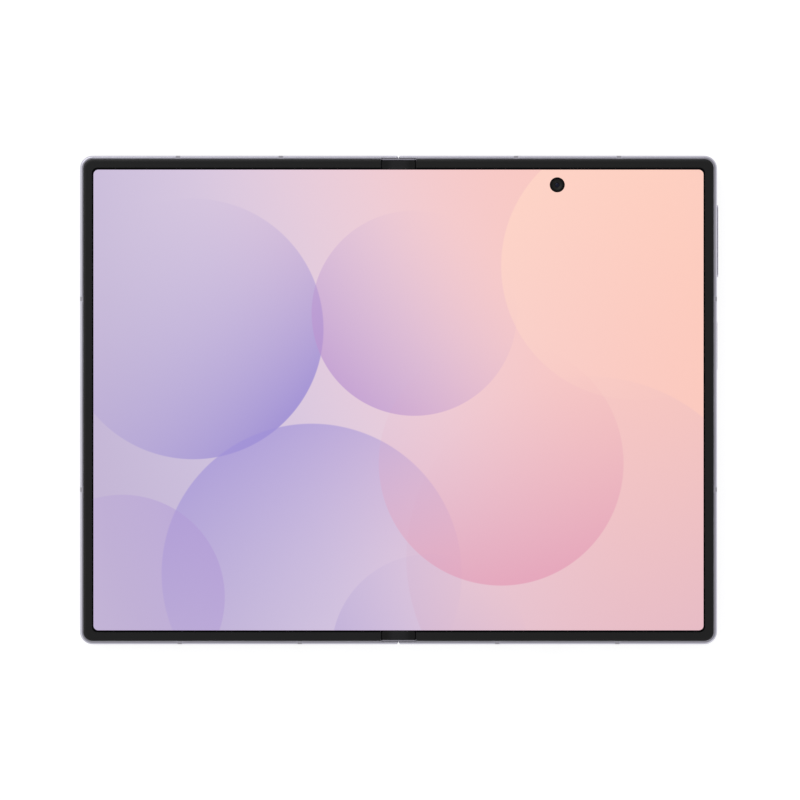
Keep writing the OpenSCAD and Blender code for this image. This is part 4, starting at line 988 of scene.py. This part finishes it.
for centre, radius, bright, fade, colour, strength in (
    ((48, -40), 46, (0.5, -0.87), 1.0, (222, 180, 196), 0.85),
    ((-52, 18), 33, (0.75, -0.66), 1.8, (150, 134, 210), 0.85),
    ((-22, -44), 38, (-0.45, 0.9), 1.7, (158, 142, 214), 0.7),
    ((4, 22), 26, (-0.7, -0.7), 1.6, (186, 146, 206), 0.75),
    ((26, -16), 31, (0.2, -0.98), 1.6, (226, 150, 178), 0.7),
    ((60, 34), 34, (-0.8, 0.6), 1.4, (255, 216, 198), 0.6),
    ((-70, -50), 26, (0.9, 0.4), 1.5, (176, 152, 212), 0.6),
    ((8, -64), 25, (-0.6, -0.8), 1.3, (170, 150, 208), 0.6),
):
    disc = tree.nodes.new("ShaderNodeGroup")
    disc.node_tree = soft_disc
    disc.inputs["Centre"].default_value = (*centre, 0)
    disc.inputs["Radius"].default_value = radius
    disc.inputs["Bright Side"].default_value = (*bright, 0)
    disc.inputs["Fade"].default_value = fade
    amount = tree.nodes.new("ShaderNodeMath")
    amount.operation = "MULTIPLY"
    amount.inputs[1].default_value = strength
    layer = tree.nodes.new("ShaderNodeMix")
    layer.data_type = "RGBA"
    layer.inputs["B"].default_value = tone(*colour)
    wires(
        tree,
        (scaled.outputs[0], disc.inputs["Place"]),
        (disc.outputs["Mask"], amount.inputs[0]),
        (amount.outputs[0], layer.inputs["Factor"]),
        (colour_so_far, layer.inputs["A"]),
    )
    colour_so_far = layer.outputs[2]
wires(tree, (colour_so_far, shader.inputs["Emission Color"]))

screen_border = finish(
    "screen_border", tone(5, 5, 7), 0.5, grains=6000, depth=5e-7, mottle=0.1, Specular_IOR_Level=0.05
)
screen_backing = finish(
    "screen_backing", tone(70, 70, 74), 0.4, grains=1500, depth=2e-6, mottle=0.06, stretch=(1, 0.1, 1),
    Metallic=1
)

same_height = 1e-6
flat_cuts = [2.5, 4.0]  # lines across the strip beside the finely cut part
bend_lines = [bend_x * i / bend_steps for i in range(1, bend_steps + 1)] + flat_cuts
for half, side, node in (("main_half", 1, "inner_screen_main"), ("cover_half", -1, "inner_screen_cover")):
    edge_outline = [(0, -strip_y), (strip_x, -strip_y)]
    edge_outline += rounded_outline(strip_x, screen_x, screen_y, screen_r)
    edge_outline += [(strip_x, strip_y), (0, strip_y)]
    lit_outline = rounded_outline(0, lit_x, lit_y, lit_r)
    holes = [circle_outline(inner_x, inner_y, r, 64) for r in (punch_r, hole_border_r)]
    outlines = [edge_outline, lit_outline] + (holes if side == 1 else [])

    def screen_kind(x, y):
        """0 on the lit area, 1 on the border."""
        away = math.hypot(x - inner_x, y - inner_y) if side == 1 else math.inf
        if away < punch_r or not within(edge_outline, x, y):
            return None
        return 0 if away > hole_border_r and within(lit_outline, x, y) else 1

    lines = [((x, -strip_y), (x, strip_y)) for x in bend_lines]
    screen_bm = plate(outlines, lines, screen_kind, screen_low, screen_high)
    for f in screen_bm.faces:
        below = [abs(v.co.z - screen_low) < same_height for v in f.verts]
        if any(below):
            f.material_index = 2 if all(below) else 1
    for v in screen_bm.verts:
        if v.co.z > screen_high - same_height and v.co.x < strip_x:
            v.co.z -= crease * 0.5 * (1 + math.cos(math.pi * v.co.x / strip_x))
    place = screen_bm.loops.layers.uv.new("place")
    for f in screen_bm.faces:
        for corner in f.loops:
            corner[place].uv = (side * corner.vert.co.x / picture_w, corner.vert.co.y / picture_w)
    if side == -1:
        bmesh.ops.scale(screen_bm, vec=(-1, 1, 1), verts=screen_bm.verts)
    screen = piece(
        "folding_screen_" + half, screen_bm, [lit_screen, screen_border, screen_backing], None,
        [node, "inner_screen_fold"]
    )
    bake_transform(screen)

# ---------- cover glass ----------
# A plate of strengthened glass over the outer screen, with a ground and polished edge. Its inner face
# is printed black outside the panel and round the camera.

glass_low, glass_high = 2.0, 2.55
eye_r, eye_print_r = 1.5, 2.1  # the clear eye outside, and the hole in the print on the inner face
glass_outline = rounded_outline(3.2, 79.85, 61.05, 2.15)
seen_outline = rounded_outline(6.6, 77.9, 59.1, 1.9)
eyes = [circle_outline(inner_x, inner_y, r) for r in (eye_r, eye_print_r)]


def glass_kind(x, y):
    """0 over the panel, 1 on the print, 2 in the clear eye, 3 between the eye and the inner print."""
    if not within(glass_outline, x, y):
        return None
    away = math.hypot(x - inner_x, y - inner_y)
    if away < eye_print_r:
        return 2 if away < eye_r else 3
    return 0 if within(seen_outline, x, y) else 1


seen_panel = finish(
    "seen_panel", tone(20, 20, 24), 0.06, grains=9000, depth=1e-7, play=0.02, mottle=0.08
)
printed_glass = finish(
    "printed_glass", tone(8, 8, 9), 0.06, grains=9000, depth=1e-7, play=0.02, mottle=0.08
)
cover_bm = plate([glass_outline, seen_outline, *eyes], [], glass_kind, glass_low, glass_high)
for f in cover_bm.faces:
    if len({v.co.z for v in f.verts}) > 1:
        f.material_index = 1
    elif f.material_index == 3:
        f.material_index = 2 if f.verts[0].co.z > glass_low else 1
bmesh.ops.scale(cover_bm, vec=(-1, 1, 1), verts=cover_bm.verts)
piece(
    "cover_glass_plate", cover_bm, [seen_panel, printed_glass, clear_glass("eye_glass")], "cover_half",
    ["cover_glass"]
)

# ---------- rims round the screen ----------
# Raised black plastic, moulded with a rounded outer edge and bonded to the rail all the way round. It
# keeps the two screens apart when the phone is closed.

# The rim's edges are painted half as light again as its faces: a painted highlight.
rim_plastic = finish(
    "rim_plastic", tone(14, 14, 15), 0.36, grains=7000, depth=4e-6, mottle=0.1, edge=0.00008, edge_gain=1.5,
    Specular_IOR_Level=0.37
)
dress(rim_plastic, "main_screen_rim", "cover_screen_rim")
